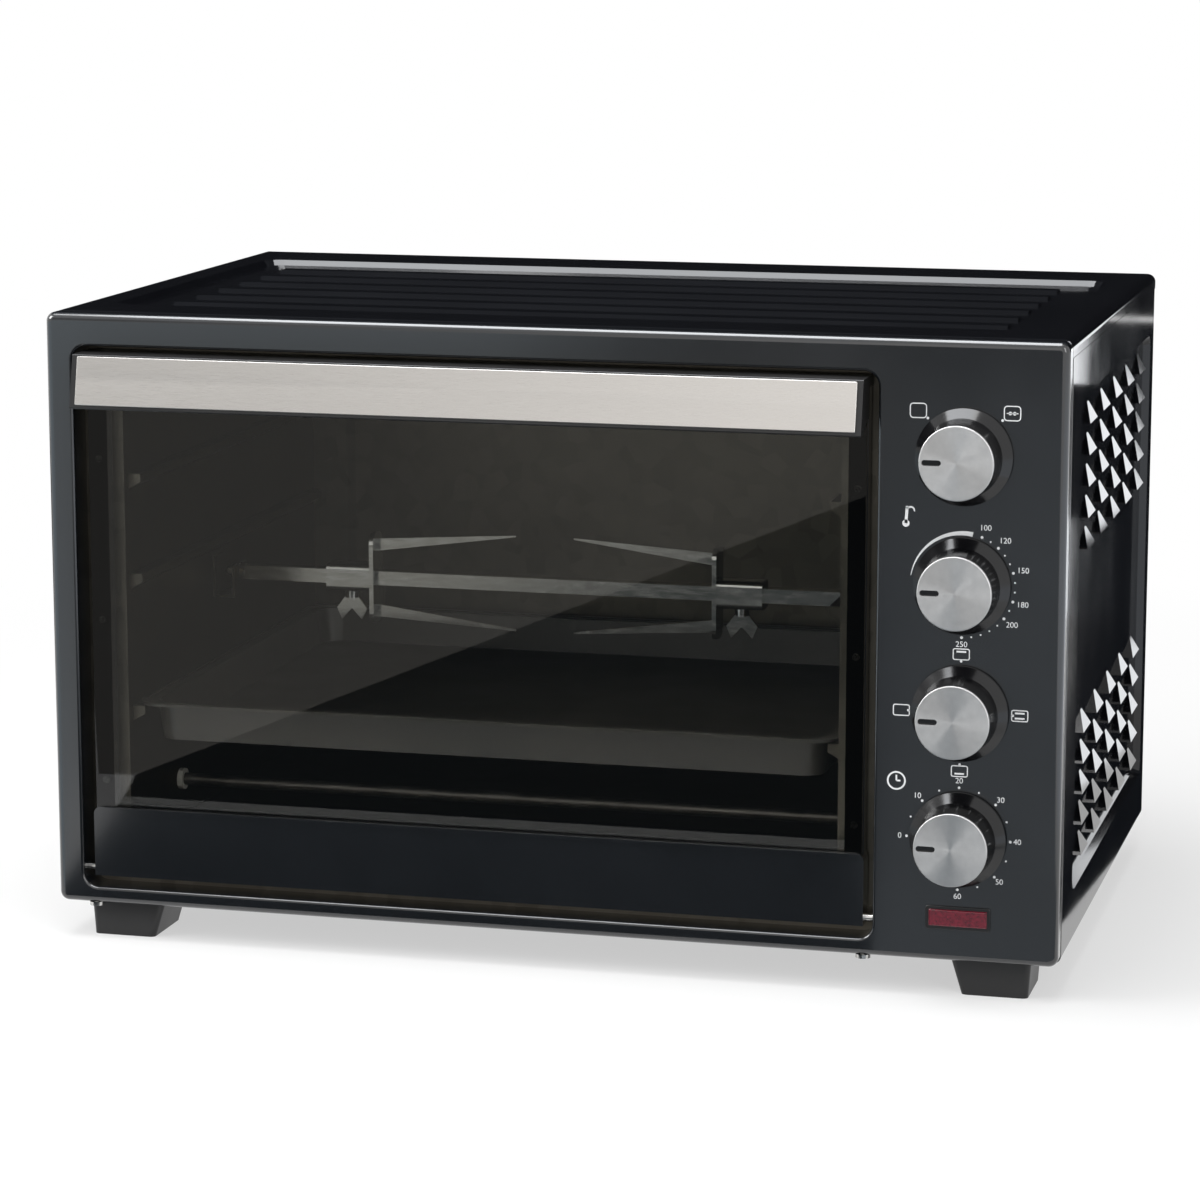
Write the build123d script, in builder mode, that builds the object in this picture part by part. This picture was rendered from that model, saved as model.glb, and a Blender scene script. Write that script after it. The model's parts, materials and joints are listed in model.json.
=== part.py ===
from build123d import *
import os
from math import acos, atan2, cos, degrees, hypot, radians, sin

# Rotisserie oven. Millimetres, +Z up, front towards -Y, origin under the middle of its bounding box.

# Overall sizes
BODY_W = 550.0
BODY_D = 356.0
BODY_H = 324.0
FOOT_H = 20.0
KNOB_REACH = 26.0
SCREW_HEAD_H = 2.0

# Sheets and clearances
SHEET = 1.0
LINER = 0.8
FASCIA_SHEET = 1.2
SEAM = 1.0
FIT = 0.3
RUNNING = 0.05

# Front fascia
FASCIA_DEPTH = 10.0
FASCIA_CORNER_R = 5.0
FASCIA_EDGE_R = 4.0
OPENING_EDGE_R = 1.5
OPENING_BOTTOM = 9.0
TOP_BORDER = 17.5
LEFT_BORDER = 15.0
PANEL_W = 97.0
OPENING_R = 8.0

# Door
DOOR_SWING = 90.0
DOOR_GAP = 5.5
DOOR_FRONT = 3.2
DOOR_BOTTOM = 15.0
DOOR_SHEET = 1.0
GLASS_FRONT = 4.4
GLASS_T = 4.0
GLASS_DROP = 8.5
FRAME_DEPTH = 7.6
STILE_W = 10.0
FRAME_TOP_W = 24.0
RAIL_H = 38.5
RAIL_CORNER_R = 4.0
HEM_H = 2.0
HEM_T = 0.7
HINGE_BACK = 9.0
HINGE_UP = 18.4
HINGE_PIN_D = 4.0
BRACKET_T = 2.0
BRACKET_H = 22.0
ARM_R = 40.0
ARM_W = 7.0
ARM_T = 2.0
ARM_PIN_D = 3.0
ARM_PIN_L = 8.0
SLOT_W = 4.0

# Handle
HANDLE_GAP = 3.0
HANDLE_DROP = 28.5
HANDLE_REACH = 12.2
HANDLE_LEAN = 6.1
HANDLE_WALL = 3.5
HANDLE_CLAMP_H = 16.0
HANDLE_END = 4.0
TRIM_T = 0.8
TRIM_END = 3.0
TRIM_TOP_LIP = 1.0
TRIM_BOTTOM_LIP = 2.2
HANDLE_SCREWS = 4
HANDLE_SCREW_INSET = 33.5

# Covers
COVER_FLANGE = 9.0
COVER_EDGE_R = 5.0
TOP_MARGIN_X = 20.0
TOP_PANEL_FRONT = 48.0
TOP_PANEL_REAR = 54.0
TOP_PANEL_SINK = 3.0
TOP_PANEL_R = 12.0
TOP_PANEL_SLOPE = 45.0
TOP_RIBS = 6
TOP_RIB_PITCH = 36.0
TOP_RIB_W = 14.0
TOP_RIB_H = 1.4
TOP_RIB_MARGIN = 24.0
TOP_RIB_SLOPE = 30.0
SIDE_FLANGE = 8.0
SIDE_EDGE_R = 3.0
SIDE_PANEL_FRONT = 50.0
SIDE_PANEL_REAR = 18.0
SIDE_PANEL_LOW = 28.0
SIDE_PANEL_TOP = 34.0
SIDE_PANEL_SINK = 4.0
SIDE_PANEL_R = 8.0
SIDE_PANEL_SLOPE = 30.0
LOUVER_COLUMNS = 5
LOUVER_ROWS = 5
LOUVER_PITCH_Y = 52.3
LOUVER_PITCH_Z = 16.7
LOUVER_W = 28.0
LOUVER_TOP_W = 5.0
LOUVER_H = 10.0
LOUVER_RISE = 3.6
LOUVERS_SHIFT = 10.3
LOUVERS_UP = 77.8
LOUVERS_DOWN = 80.7
REAR_INSET = 2.0
REAR_CORNER_R = 6.0
VENT_W = 60.0
VENT_H = 4.0
VENT_COLUMNS = 4
VENT_ROWS = 6
VENT_PITCH_X = 84.0
VENT_PITCH_Z = 14.0
VENTS_UP = 215.0
BASE_FLANGE = 10.0
BASE_VENT_ROWS = 5
BASE_VENT_PITCH_Y = 40.0

# Cavity
CAVITY_INSET = 22.0
CAVITY_FRONT = 18.0
CAVITY_REAR_SPACE = 20.0
CAVITY_LOW = 28.0
CAVITY_TOP_INSET = 6.5
REAR_PAN_MARGIN = 22.0
REAR_PAN_DEPTH = 4.0
REAR_PAN_R = 16.0
REAR_PAN_SLOPE = 45.0
FLANGE_W = 33.0
FLANGE_BOTTOM = 4.0
FLANGE_OVERLAP = 5.5
GUIDE_SHARES = (0.29, 0.559, 0.761)
GUIDE_H = 9.0
GUIDE_REACH = 7.0
GUIDE_INSET = 6.0

# Heaters
HEATER_D = 7.0
HEATERS_SPREAD = 150.0
HEATERS_SHIFT = 7.0
UPPER_HEATERS_DROP = 15.0
LOWER_HEATERS_RISE = 22.0
HEATER_TAIL = 18.0
TERMINAL_D = 3.0
TERMINAL_L = 10.0
CERAMIC_D = 12.0
CERAMIC_COLLAR_D = 18.0
CERAMIC_COLLAR_T = 4.0
CERAMIC_NOSE = 3.0

# Spit, drive and forks
SPIT_AHEAD = 12.0
SPIT_DROP = 6.0
SPIT_BAR = 8.0
SPIT_END_GAP = 4.0
JOURNAL_D = 6.0
JOURNAL_COLLAR_D = 9.0
JOURNAL_COLLAR_T = 3.0
SPIT_POINT_L = 5.0
SPIT_POINT_W = 2.0
SUPPORT_T = 1.5
SUPPORT_REACH = 13.0
SUPPORT_W = 22.0
SUPPORT_DROP = 14.0
SUPPORT_RISE = 10.0
SOCKET_D = 16.0
SOCKET_NOSE = 8.0
SOCKET_TAIL = 14.0
SOCKET_DEPTH = 14.0
SOCKET_STUB_D = 6.0
SOCKET_STUB_L = 12.0
WALL_HOLE_CLEAR = 0.6
MOTOR_D = 50.0
MOTOR_T = 24.0
MOTOR_BOSS_D = 14.0
MOTOR_BOSS_T = 3.0
MOTOR_EAR_SPAN = 62.0
MOTOR_EAR_W = 14.0
MOTOR_EAR_T = 2.0
BRACKET_STAND = 19.0
BRACKET_PLATE = 1.5
BRACKET_SPAN = 84.0
BRACKET_FOOT = 12.0
BRACKET_WIDTH = 46.0
LEFT_FORK_INSET = 96.0
RIGHT_FORK_INSET = 100.0
FORK_PLATE_T = 2.5
FORK_PLATE_W = 18.0
FORK_PLATE_H = 52.0
FORK_HUB_L = 26.0
FORK_HUB_W = 16.0
TINE_L = 82.0
TINE_SPREAD = 8.0
TINE_W = 7.0
TINE_T = 3.0
TINE_TIP = 1.0
SCREW_SHANK_D = 4.0
WING_W = 18.0
WING_H = 13.0
WING_T = 2.5
WING_NECK = 4.0
WING_COLLAR_D = 8.0

# Baking tray
TRAY_FRONT = 22.0
TRAY_REAR_GAP = 6.0
TRAY_DEPTH = 20.0
TRAY_SIDE_GAP = 1.5
TRAY_TAPER = 8.0
TRAY_CORNER_R = 14.0
TRAY_BEAD_T = 2.0

# Controls
KNOB_INSET = 52.5
KNOB_TOP_DROP = 59.4
KNOB_LOW_UP = 65.7
KNOB_GAP = 0.8
SKIRT_D = 50.0
SKIRT_T = 2.2
SKIRT_SLOPE_T = 4.5
KNOB_D = 41.0
CAP_D = 38.3
CAP_T = 1.5
CAP_EDGE_R = 0.6
POINTER_W = 2.9
POINTER_OUT = 17.6
POINTER_IN = 7.7
KNOB_WALL = 2.0
KNOB_HUB_D = 12.0
SHAFT_D = 6.0
SHAFT_OUT = 16.0
SHAFT_IN = 10.0
PANEL_HOLE_CLEAR = 1.0
SWITCH_W = 36.0
SWITCH_D = 20.0
SELECTOR_W = 42.0
SELECTOR_D = 26.0
SELECTOR_SIDES = 8
THERMOSTAT_D = 38.0
THERMOSTAT_T = 13.0
TIMER_W = 58.0
TIMER_H = 46.0
TIMER_D = 20.0
BELL_D = 42.0
BELL_T = 9.0
BLADE_W = 6.0
BLADE_T = 0.8
BLADE_L = 9.0
BLADE_SPACING = 14.0

# Indicator
LENS_INSET = 52.0
LENS_UP = 23.5
LENS_W = 30.5
LENS_H = 9.0
LENS_PROUD = 1.6
LENS_D = 9.0
BEZEL_RIM = 1.75
BEZEL_PROUD = 1.0
BEZEL_SLEEVE = 0.8
BEZEL_D = 14.0

# Feet and fasteners
FOOT_TOP_W = 43.0
FOOT_BOTTOM_W = 35.0
FOOT_DRAFT = 1.5
FOOT_D = 40.0
FOOT_INSET = 15.0
FOOT_SETBACK = 10.0
FOOT_R = 3.0
FOOT_POCKET_D = 11.0
FOOT_POCKET_H = 9.0
SCREW_D = 4.0
SCREW_HEAD_D = 8.0
RIVET_D = 4.0
RIVET_HEAD_D = 7.0
RIVET_HEAD_T = 1.4
RIVET_SHARES = (0.868, 0.469, 0.065)
GROMMET_INSET = 60.0
GROMMET_UP = 40.0
GROMMET_D = 16.0
GROMMET_FLANGE_D = 24.0
GROMMET_BORE_D = 10.0
GROMMET_NECK = 6.0

# Places worked out from the sizes above
FRONT_Y = KNOB_REACH - (BODY_D + KNOB_REACH + SCREW_HEAD_H) / 2
REAR_Y = FRONT_Y + BODY_D
COVER_REAR_Y = REAR_Y - SHEET
COVER_Y = FRONT_Y + FASCIA_DEPTH + SEAM
COVER_D = COVER_REAR_Y - COVER_Y
COVER_MID_Y = (COVER_Y + COVER_REAR_Y) / 2
BASE_Z = FOOT_H
TOP_Z = BASE_Z + BODY_H
SIDE_X = BODY_W / 2
OPENING_W = BODY_W - LEFT_BORDER - PANEL_W
OPENING_H = BODY_H - OPENING_BOTTOM - TOP_BORDER
OPENING_TOP = OPENING_BOTTOM + OPENING_H
DOOR_W = OPENING_W - 2 * DOOR_GAP
DOOR_X = (LEFT_BORDER - PANEL_W) / 2
GLASS_TOP = OPENING_TOP - GLASS_DROP
HANDLE_TOP = OPENING_TOP - HANDLE_GAP
OPENING_MID_Z = BASE_Z + OPENING_BOTTOM + OPENING_H / 2
DOOR_LEFT = DOOR_X - DOOR_W / 2
DOOR_RIGHT = DOOR_X + DOOR_W / 2
HINGE_Y = FRONT_Y + HINGE_BACK
HINGE_Z = BASE_Z + HINGE_UP
CAVITY_LEFT = DOOR_X - OPENING_W / 2 + CAVITY_INSET
CAVITY_RIGHT = DOOR_X + OPENING_W / 2 - CAVITY_INSET
CAVITY_BACK = BODY_D - CAVITY_REAR_SPACE
CAVITY_HIGH = OPENING_TOP - CAVITY_TOP_INSET
CAVITY_X = (CAVITY_LEFT + CAVITY_RIGHT) / 2
CAVITY_W = CAVITY_RIGHT - CAVITY_LEFT
WALL_H = CAVITY_HIGH - CAVITY_LOW
WALL_D = CAVITY_BACK - CAVITY_FRONT
FLANGE_TOP = OPENING_TOP + FLANGE_OVERLAP
GUIDES_UP = [CAVITY_LOW + share * WALL_H for share in GUIDE_SHARES]
HEATERS_MIDDLE = CAVITY_FRONT + WALL_D / 2 - HEATERS_SHIFT
HEATERS_BACK = (HEATERS_MIDDLE - HEATERS_SPREAD / 2, HEATERS_MIDDLE + HEATERS_SPREAD / 2)
UPPER_HEATERS_UP = CAVITY_HIGH - UPPER_HEATERS_DROP
LOWER_HEATERS_UP = CAVITY_LOW + LOWER_HEATERS_RISE
SPIT_Y = FRONT_Y + CAVITY_FRONT + WALL_D / 2 - SPIT_AHEAD
SPIT_Z = BASE_Z + CAVITY_LOW + WALL_H / 2 - SPIT_DROP
FORK_LEFT_X = CAVITY_LEFT + LEFT_FORK_INSET
FORK_RIGHT_X = CAVITY_RIGHT - RIGHT_FORK_INSET
TRAY_BACK = CAVITY_BACK - TRAY_REAR_GAP
TOP_PANEL_D = BODY_D - TOP_PANEL_FRONT - TOP_PANEL_REAR
SIDE_PANEL_D = BODY_D - SIDE_PANEL_FRONT - SIDE_PANEL_REAR
SIDE_PANEL_H = BODY_H - SIDE_PANEL_LOW - SIDE_PANEL_TOP
LOUVERS_BACK = SIDE_PANEL_FRONT + SIDE_PANEL_D / 2 + LOUVERS_SHIFT
LOUVER_FIELDS_UP = (BODY_H - LOUVERS_DOWN, LOUVERS_UP)
FRAME_FRONT = GLASS_FRONT + GLASS_T
FRAME_BACK = FRAME_FRONT + FRAME_DEPTH
KNOB_NAMES = ("function", "temperature", "heat_selector", "timer")
KNOB_X = SIDE_X - KNOB_INSET
KNOB_PITCH = (BODY_H - KNOB_TOP_DROP - KNOB_LOW_UP) / (len(KNOB_NAMES) - 1)
KNOB_UPS = [BODY_H - KNOB_TOP_DROP - i * KNOB_PITCH for i in range(len(KNOB_NAMES))]
LENS_X = SIDE_X - LENS_INSET
FOOT_OUT = SIDE_X - FOOT_INSET
GROMMET_X = SIDE_X - GROMMET_INSET


def depth(distance):
    """Y of a point that lies this far behind the fascia's face."""
    return FRONT_Y + distance


def up(height):
    """Z of a point that lies this far above the casing's underside."""
    return BASE_Z + height


def facing(distance):
    """Plane parallel to the fascia, this far behind it, with local axes X and Z."""
    return Plane.XZ.offset(-depth(distance))


def across(x):
    """Plane square to X, with local axes Y and Z."""
    return Plane.YZ.offset(x)


def finish(piece, name):
    """Label a finished piece and write it."""
    piece.part.label = name
    export_step(piece.part, f"parts/{name}.step")


os.makedirs("parts", exist_ok=True)

# Front fascia, one pressed sheet with a return round the door opening
with BuildPart() as front_fascia:
    with BuildSketch(facing(0)):
        with Locations((0, up(BODY_H / 2))):
            RectangleRounded(BODY_W, BODY_H, FASCIA_CORNER_R)
    extrude(amount=-FASCIA_DEPTH)
    fillet(front_fascia.faces().sort_by(Axis.Y)[0].edges(), FASCIA_EDGE_R)
    offset(amount=-FASCIA_SHEET, openings=front_fascia.faces().sort_by(Axis.Y)[-1])
    with BuildSketch(facing(0)):
        with Locations((DOOR_X, OPENING_MID_Z)):
            RectangleRounded(
                OPENING_W + 2 * FASCIA_SHEET,
                OPENING_H + 2 * FASCIA_SHEET,
                OPENING_R + FASCIA_SHEET,
            )
    extrude(amount=-CAVITY_FRONT)
    with BuildSketch(facing(0)):
        with Locations((DOOR_X, OPENING_MID_Z)):
            RectangleRounded(OPENING_W, OPENING_H, OPENING_R)
    extrude(amount=-CAVITY_FRONT, mode=Mode.SUBTRACT)
    lip = front_fascia.faces().sort_by(Axis.Y)[0].inner_wires()[0].edges()
    fillet(lip, OPENING_EDGE_R)
    with BuildSketch(facing(0)):
        with Locations([(KNOB_X, up(height)) for height in KNOB_UPS]):
            Circle(SHAFT_D / 2 + PANEL_HOLE_CLEAR)
        with Locations((LENS_X, up(LENS_UP))):
            Rectangle(LENS_W + 2 * (BEZEL_SLEEVE + FIT), LENS_H + 2 * (BEZEL_SLEEVE + FIT))
    extrude(amount=-FASCIA_SHEET, mode=Mode.SUBTRACT)
    with BuildSketch(Plane.YZ.offset(DOOR_LEFT - DOOR_GAP - FASCIA_SHEET)):
        with Locations((HINGE_Y, HINGE_Z)):
            Circle(HINGE_PIN_D / 2 + FIT)
    extrude(amount=OPENING_W + 2 * FASCIA_SHEET, mode=Mode.SUBTRACT)
    with BuildSketch(Plane.XY.offset(BASE_Z)):
        with Locations([(x, depth(FASCIA_DEPTH / 2)) for x in (DOOR_LEFT, DOOR_RIGHT)]):
            Circle(SCREW_D / 2)
    extrude(amount=FASCIA_SHEET, mode=Mode.SUBTRACT)
finish(front_fascia, "front_fascia")

# Top cover with a sunken ribbed panel
TOP_PANEL_W = BODY_W - 2 * TOP_MARGIN_X
TOP_PANEL_Y = depth(TOP_PANEL_FRONT + TOP_PANEL_D / 2)
with BuildPart() as top_cover:
    with BuildSketch(Plane.XY.offset(TOP_Z - COVER_FLANGE)):
        with Locations((0, COVER_MID_Y)):
            Rectangle(BODY_W, COVER_D)
    extrude(amount=COVER_FLANGE)
    fillet(top_cover.faces().sort_by(Axis.Z)[-1].edges(), COVER_EDGE_R)
    offset(amount=-SHEET, openings=top_cover.faces().sort_by(Axis.Z)[0])
    with BuildSketch(Plane.XY.offset(TOP_Z - SHEET / 2)):
        with Locations((0, TOP_PANEL_Y)):
            RectangleRounded(TOP_PANEL_W + 2 * SHEET, TOP_PANEL_D + 2 * SHEET, TOP_PANEL_R + SHEET)
    extrude(amount=-TOP_PANEL_SINK - SHEET / 2, taper=TOP_PANEL_SLOPE)
    with BuildSketch(Plane.XY.offset(TOP_Z)):
        with Locations((0, TOP_PANEL_Y)):
            RectangleRounded(TOP_PANEL_W, TOP_PANEL_D, TOP_PANEL_R)
    extrude(amount=-TOP_PANEL_SINK, taper=TOP_PANEL_SLOPE, mode=Mode.SUBTRACT)
    with BuildSketch(Plane.YZ.offset(-TOP_PANEL_W / 2 + TOP_RIB_MARGIN)):
        with Locations([(TOP_PANEL_Y + (i - (TOP_RIBS - 1) / 2) * TOP_RIB_PITCH, TOP_Z - TOP_PANEL_SINK)
                        for i in range(TOP_RIBS)]):
            Trapezoid(TOP_RIB_W, TOP_RIB_H, TOP_RIB_SLOPE, align=(Align.CENTER, Align.MIN))
    extrude(amount=TOP_PANEL_W - 2 * TOP_RIB_MARGIN)
finish(top_cover, "top_cover")

# One louver as a solid hood and the hollow under it, standing at the origin with +X outwards
LOUVER_LEAN = degrees(atan2(2 * LOUVER_H, LOUVER_W - LOUVER_TOP_W))
with BuildPart() as louver_hood:
    with BuildSketch(Plane.XZ.offset(-LOUVER_W / 2)):
        with BuildLine():
            Polyline((-SHEET, 0), (LOUVER_RISE, 0), (0, LOUVER_H), (-SHEET, LOUVER_H), close=True)
        make_face()
    extrude(amount=LOUVER_W)
    with BuildSketch(Plane.YZ.offset(-SHEET)):
        Trapezoid(LOUVER_W, LOUVER_H, LOUVER_LEAN, align=(Align.CENTER, Align.MIN))
    extrude(amount=LOUVER_RISE + SHEET, mode=Mode.INTERSECT)
with BuildPart() as louver_hollow:
    with BuildSketch(Plane.XZ.offset(-LOUVER_W / 2)):
        with BuildLine():
            Polyline((-2 * SHEET, -SHEET), (-SHEET, -SHEET), (-SHEET, 0), (LOUVER_RISE - SHEET, 0),
                     (-2 * SHEET, LOUVER_H - 2 * SHEET), close=True)
        make_face()
    extrude(amount=LOUVER_W)
    with BuildSketch(Plane.YZ.offset(-2 * SHEET)):
        with Locations((0, -SHEET)):
            Trapezoid(LOUVER_W - 2 * SHEET, LOUVER_H, LOUVER_LEAN, align=(Align.CENTER, Align.MIN))
    extrude(amount=LOUVER_RISE + 2 * SHEET, mode=Mode.INTERSECT)

# Right side panel with its sunken field of louvers, and the left one as its mirror image
SIDE_H = BODY_H - COVER_FLANGE - FIT
FIELD_X = SIDE_X - SIDE_PANEL_SINK
FIELD_CENTRE = (depth(SIDE_PANEL_FRONT + SIDE_PANEL_D / 2), up(SIDE_PANEL_LOW + SIDE_PANEL_H / 2))
louver_places = []
for middle in LOUVER_FIELDS_UP:
    for column in range(LOUVER_COLUMNS):
        for row in range(LOUVER_ROWS):
            y = depth(LOUVERS_BACK) + (column - (LOUVER_COLUMNS - 1) / 2) * LOUVER_PITCH_Y
            z = up(middle) + (row - (LOUVER_ROWS - 1) / 2) * LOUVER_PITCH_Z - LOUVER_H / 2
            louver_places.append((FIELD_X, y, z))
with BuildPart() as right_side_panel:
    with BuildSketch(across(SIDE_X - SIDE_FLANGE)):
        with Locations((COVER_MID_Y, BASE_Z + SIDE_H / 2)):
            Rectangle(COVER_D, SIDE_H)
    extrude(amount=SIDE_FLANGE)
    fillet(right_side_panel.faces().sort_by(Axis.X)[-1].edges().sort_by(Axis.Z)[:-1], SIDE_EDGE_R)
    offset(amount=-SHEET, openings=right_side_panel.faces().sort_by(Axis.X)[0])
    with BuildSketch(across(SIDE_X - SHEET / 2)):
        with Locations(FIELD_CENTRE):
            RectangleRounded(SIDE_PANEL_D + 2 * SHEET, SIDE_PANEL_H + 2 * SHEET, SIDE_PANEL_R + SHEET)
    extrude(amount=-SIDE_PANEL_SINK - SHEET / 2, taper=SIDE_PANEL_SLOPE)
    with BuildSketch(across(SIDE_X)):
        with Locations(FIELD_CENTRE):
            RectangleRounded(SIDE_PANEL_D, SIDE_PANEL_H, SIDE_PANEL_R)
    extrude(amount=-SIDE_PANEL_SINK, taper=SIDE_PANEL_SLOPE, mode=Mode.SUBTRACT)
    with Locations(louver_places):
        add(louver_hood.part)
    with Locations(louver_places):
        add(louver_hollow.part, mode=Mode.SUBTRACT)
finish(right_side_panel, "right_side_panel")

with BuildPart() as left_side_panel:
    mirror(right_side_panel.part, about=Plane.YZ)
finish(left_side_panel, "left_side_panel")

# Rear cover with rows of air slots and a hole for the cord's grommet
rear_screws = [(sx * (SIDE_X - SIDE_FLANGE / 2 - SHEET), up(height))
               for sx in (-1, 1) for height in (CAVITY_LOW, BODY_H / 2, CAVITY_HIGH)]
with BuildPart() as rear_cover:
    with BuildSketch(Plane.XZ.offset(-COVER_REAR_Y)):
        with Locations((0, up(BODY_H / 2))):
            RectangleRounded(BODY_W - 2 * REAR_INSET, BODY_H - 2 * REAR_INSET, REAR_CORNER_R)
        with Locations((0, up(VENTS_UP))):
            with GridLocations(VENT_PITCH_X, VENT_PITCH_Z, VENT_COLUMNS, VENT_ROWS):
                SlotOverall(VENT_W, VENT_H, mode=Mode.SUBTRACT)
        with Locations((GROMMET_X, up(GROMMET_UP))):
            Circle(GROMMET_D / 2, mode=Mode.SUBTRACT)
        with Locations(rear_screws):
            Circle(SCREW_D / 2, mode=Mode.SUBTRACT)
    extrude(amount=-SHEET)
finish(rear_cover, "rear_cover")

# Base plate, a pan that lies on the side panels' folded lower edges
BASE_W = BODY_W - 2 * (SIDE_EDGE_R + FIT)
BASE_FRONT_Y = depth(CAVITY_FRONT + LINER + FIT)
BASE_D = COVER_REAR_Y - SIDE_EDGE_R - FIT - BASE_FRONT_Y
BASE_MID_Y = BASE_FRONT_Y + BASE_D / 2
BASE_LIP_W = BODY_W - 2 * (SIDE_FLANGE + FIT)
BASE_LIP_D = BASE_FRONT_Y + SHEET - depth(FASCIA_DEPTH + SEAM)
foot_xs = [FOOT_OUT - FOOT_TOP_W / 2, FOOT_TOP_W / 2 - FOOT_OUT]
foot_ys = [depth(FOOT_SETBACK + FOOT_D / 2), depth(BODY_D - FOOT_SETBACK - FOOT_D / 2)]
foot_places = [(x, y) for y in foot_ys for x in foot_xs]
with BuildPart() as base_plate:
    with BuildSketch(Plane.XY.offset(BASE_Z + SHEET)):
        with Locations((0, BASE_MID_Y)):
            Rectangle(BASE_W, BASE_D)
    extrude(amount=BASE_FLANGE)
    offset(amount=-SHEET, openings=base_plate.faces().sort_by(Axis.Z)[-1])
    with BuildSketch(Plane.XY.offset(BASE_Z + SHEET)):
        with Locations((0, depth(FASCIA_DEPTH + SEAM))):
            Rectangle(BASE_LIP_W, BASE_LIP_D, align=(Align.CENTER, Align.MIN))
    extrude(amount=SHEET)
    with BuildSketch(Plane.XY.offset(BASE_Z + SHEET)):
        with Locations((0, BASE_MID_Y)):
            with GridLocations(VENT_PITCH_X, BASE_VENT_PITCH_Y, VENT_COLUMNS, BASE_VENT_ROWS):
                SlotOverall(VENT_W, VENT_H)
        with Locations(foot_places):
            Circle(SCREW_D / 2)
    extrude(amount=SHEET, mode=Mode.SUBTRACT)
finish(base_plate, "base_plate")

# Cavity side walls with pressed rack guides, a front flange and a slot for the door's arm
slot_rise = [r * sin(acos((CAVITY_FRONT + LINER - HINGE_BACK) / r))
             for r in (ARM_R - ARM_W / 2 - 2 * SEAM, ARM_R + ARM_W / 2 + 2 * SEAM)]


def cavity_side(wall_x, out, arm_x):
    """A side wall whose inner face is at wall_x; out is the direction away from the cavity, 1 or -1."""
    with BuildPart() as wall:
        with BuildSketch(across(wall_x)):
            with Locations((depth(CAVITY_FRONT + WALL_D / 2), up(CAVITY_LOW + WALL_H / 2))):
                Rectangle(WALL_D, WALL_H)
        extrude(amount=out * LINER)
        with BuildSketch(facing(CAVITY_FRONT)):
            with Locations((wall_x + out * FLANGE_W / 2, up((FLANGE_BOTTOM + FLANGE_TOP) / 2))):
                Rectangle(FLANGE_W, FLANGE_TOP - FLANGE_BOTTOM)
            with Locations((arm_x, HINGE_Z + sum(slot_rise) / 2)):
                Rectangle(SLOT_W, slot_rise[1] - slot_rise[0], mode=Mode.SUBTRACT)
        extrude(amount=-LINER)
        for skin, mode in ((0, Mode.ADD), (LINER, Mode.SUBTRACT)):
            with BuildSketch(facing(CAVITY_FRONT + GUIDE_INSET + skin)):
                for guide in GUIDES_UP:
                    with BuildLine():
                        Polyline(
                            (wall_x + out * LINER, up(guide - skin)),
                            (wall_x - out * (GUIDE_REACH - skin), up(guide - skin)),
                            (wall_x - out * (GUIDE_REACH - skin), up(guide - GUIDE_H / 2)),
                            (wall_x + out * LINER, up(guide - GUIDE_H + skin)),
                            close=True,
                        )
                    make_face()
            extrude(amount=-(WALL_D - 2 * GUIDE_INSET - 2 * skin), mode=mode)
        with BuildSketch(across(wall_x)):
            with Locations([(depth(back), up(height)) for back in HEATERS_BACK
                            for height in (UPPER_HEATERS_UP, LOWER_HEATERS_UP)]):
                Circle(CERAMIC_D / 2)
            if out > 0:
                with Locations((SPIT_Y, SPIT_Z)):
                    Circle(SOCKET_D / 2 + WALL_HOLE_CLEAR)
        extrude(amount=out * LINER, mode=Mode.SUBTRACT)
    return wall


ARM_LEFT_X = DOOR_LEFT + STILE_W / 2
ARM_RIGHT_X = DOOR_RIGHT - STILE_W / 2
finish(cavity_side(CAVITY_LEFT, -1, ARM_LEFT_X), "cavity_left_wall")
finish(cavity_side(CAVITY_RIGHT, 1, ARM_RIGHT_X), "cavity_right_wall")

# Cavity rear wall with a shallow pressed pan, then ceiling and floor
PAN_W = CAVITY_W - 2 * REAR_PAN_MARGIN
PAN_H = WALL_H - 2 * REAR_PAN_MARGIN
rear_middle = (CAVITY_X, up(CAVITY_LOW + WALL_H / 2))
with BuildPart() as cavity_rear_wall:
    with BuildSketch(facing(CAVITY_BACK)):
        with Locations(rear_middle):
            Rectangle(CAVITY_W + 2 * LINER, WALL_H + 2 * LINER)
    extrude(amount=-LINER)
    with BuildSketch(facing(CAVITY_BACK + LINER / 2)):
        with Locations(rear_middle):
            RectangleRounded(PAN_W + 2 * LINER, PAN_H + 2 * LINER, REAR_PAN_R + LINER)
    extrude(amount=-REAR_PAN_DEPTH - LINER / 2, taper=REAR_PAN_SLOPE)
    with BuildSketch(facing(CAVITY_BACK)):
        with Locations(rear_middle):
            RectangleRounded(PAN_W, PAN_H, REAR_PAN_R)
    extrude(amount=-REAR_PAN_DEPTH, taper=REAR_PAN_SLOPE, mode=Mode.SUBTRACT)
finish(cavity_rear_wall, "cavity_rear_wall")


def cavity_level(inner_up, flange_end_up, name):
    """Ceiling or floor: a level sheet with a front flange that runs away from the cavity."""
    away = 1 if flange_end_up > inner_up else -1
    with BuildPart() as sheet:
        with BuildSketch(across(CAVITY_LEFT)):
            with BuildLine():
                Polyline(
                    (depth(CAVITY_FRONT), up(inner_up)),
                    (depth(CAVITY_FRONT), up(flange_end_up)),
                    (depth(CAVITY_FRONT + LINER), up(flange_end_up)),
                    (depth(CAVITY_FRONT + LINER), up(inner_up + away * LINER)),
                    (depth(CAVITY_BACK), up(inner_up + away * LINER)),
                    (depth(CAVITY_BACK), up(inner_up)),
                    close=True,
                )
            make_face()
        extrude(amount=CAVITY_W)
    finish(sheet, name)


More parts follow.
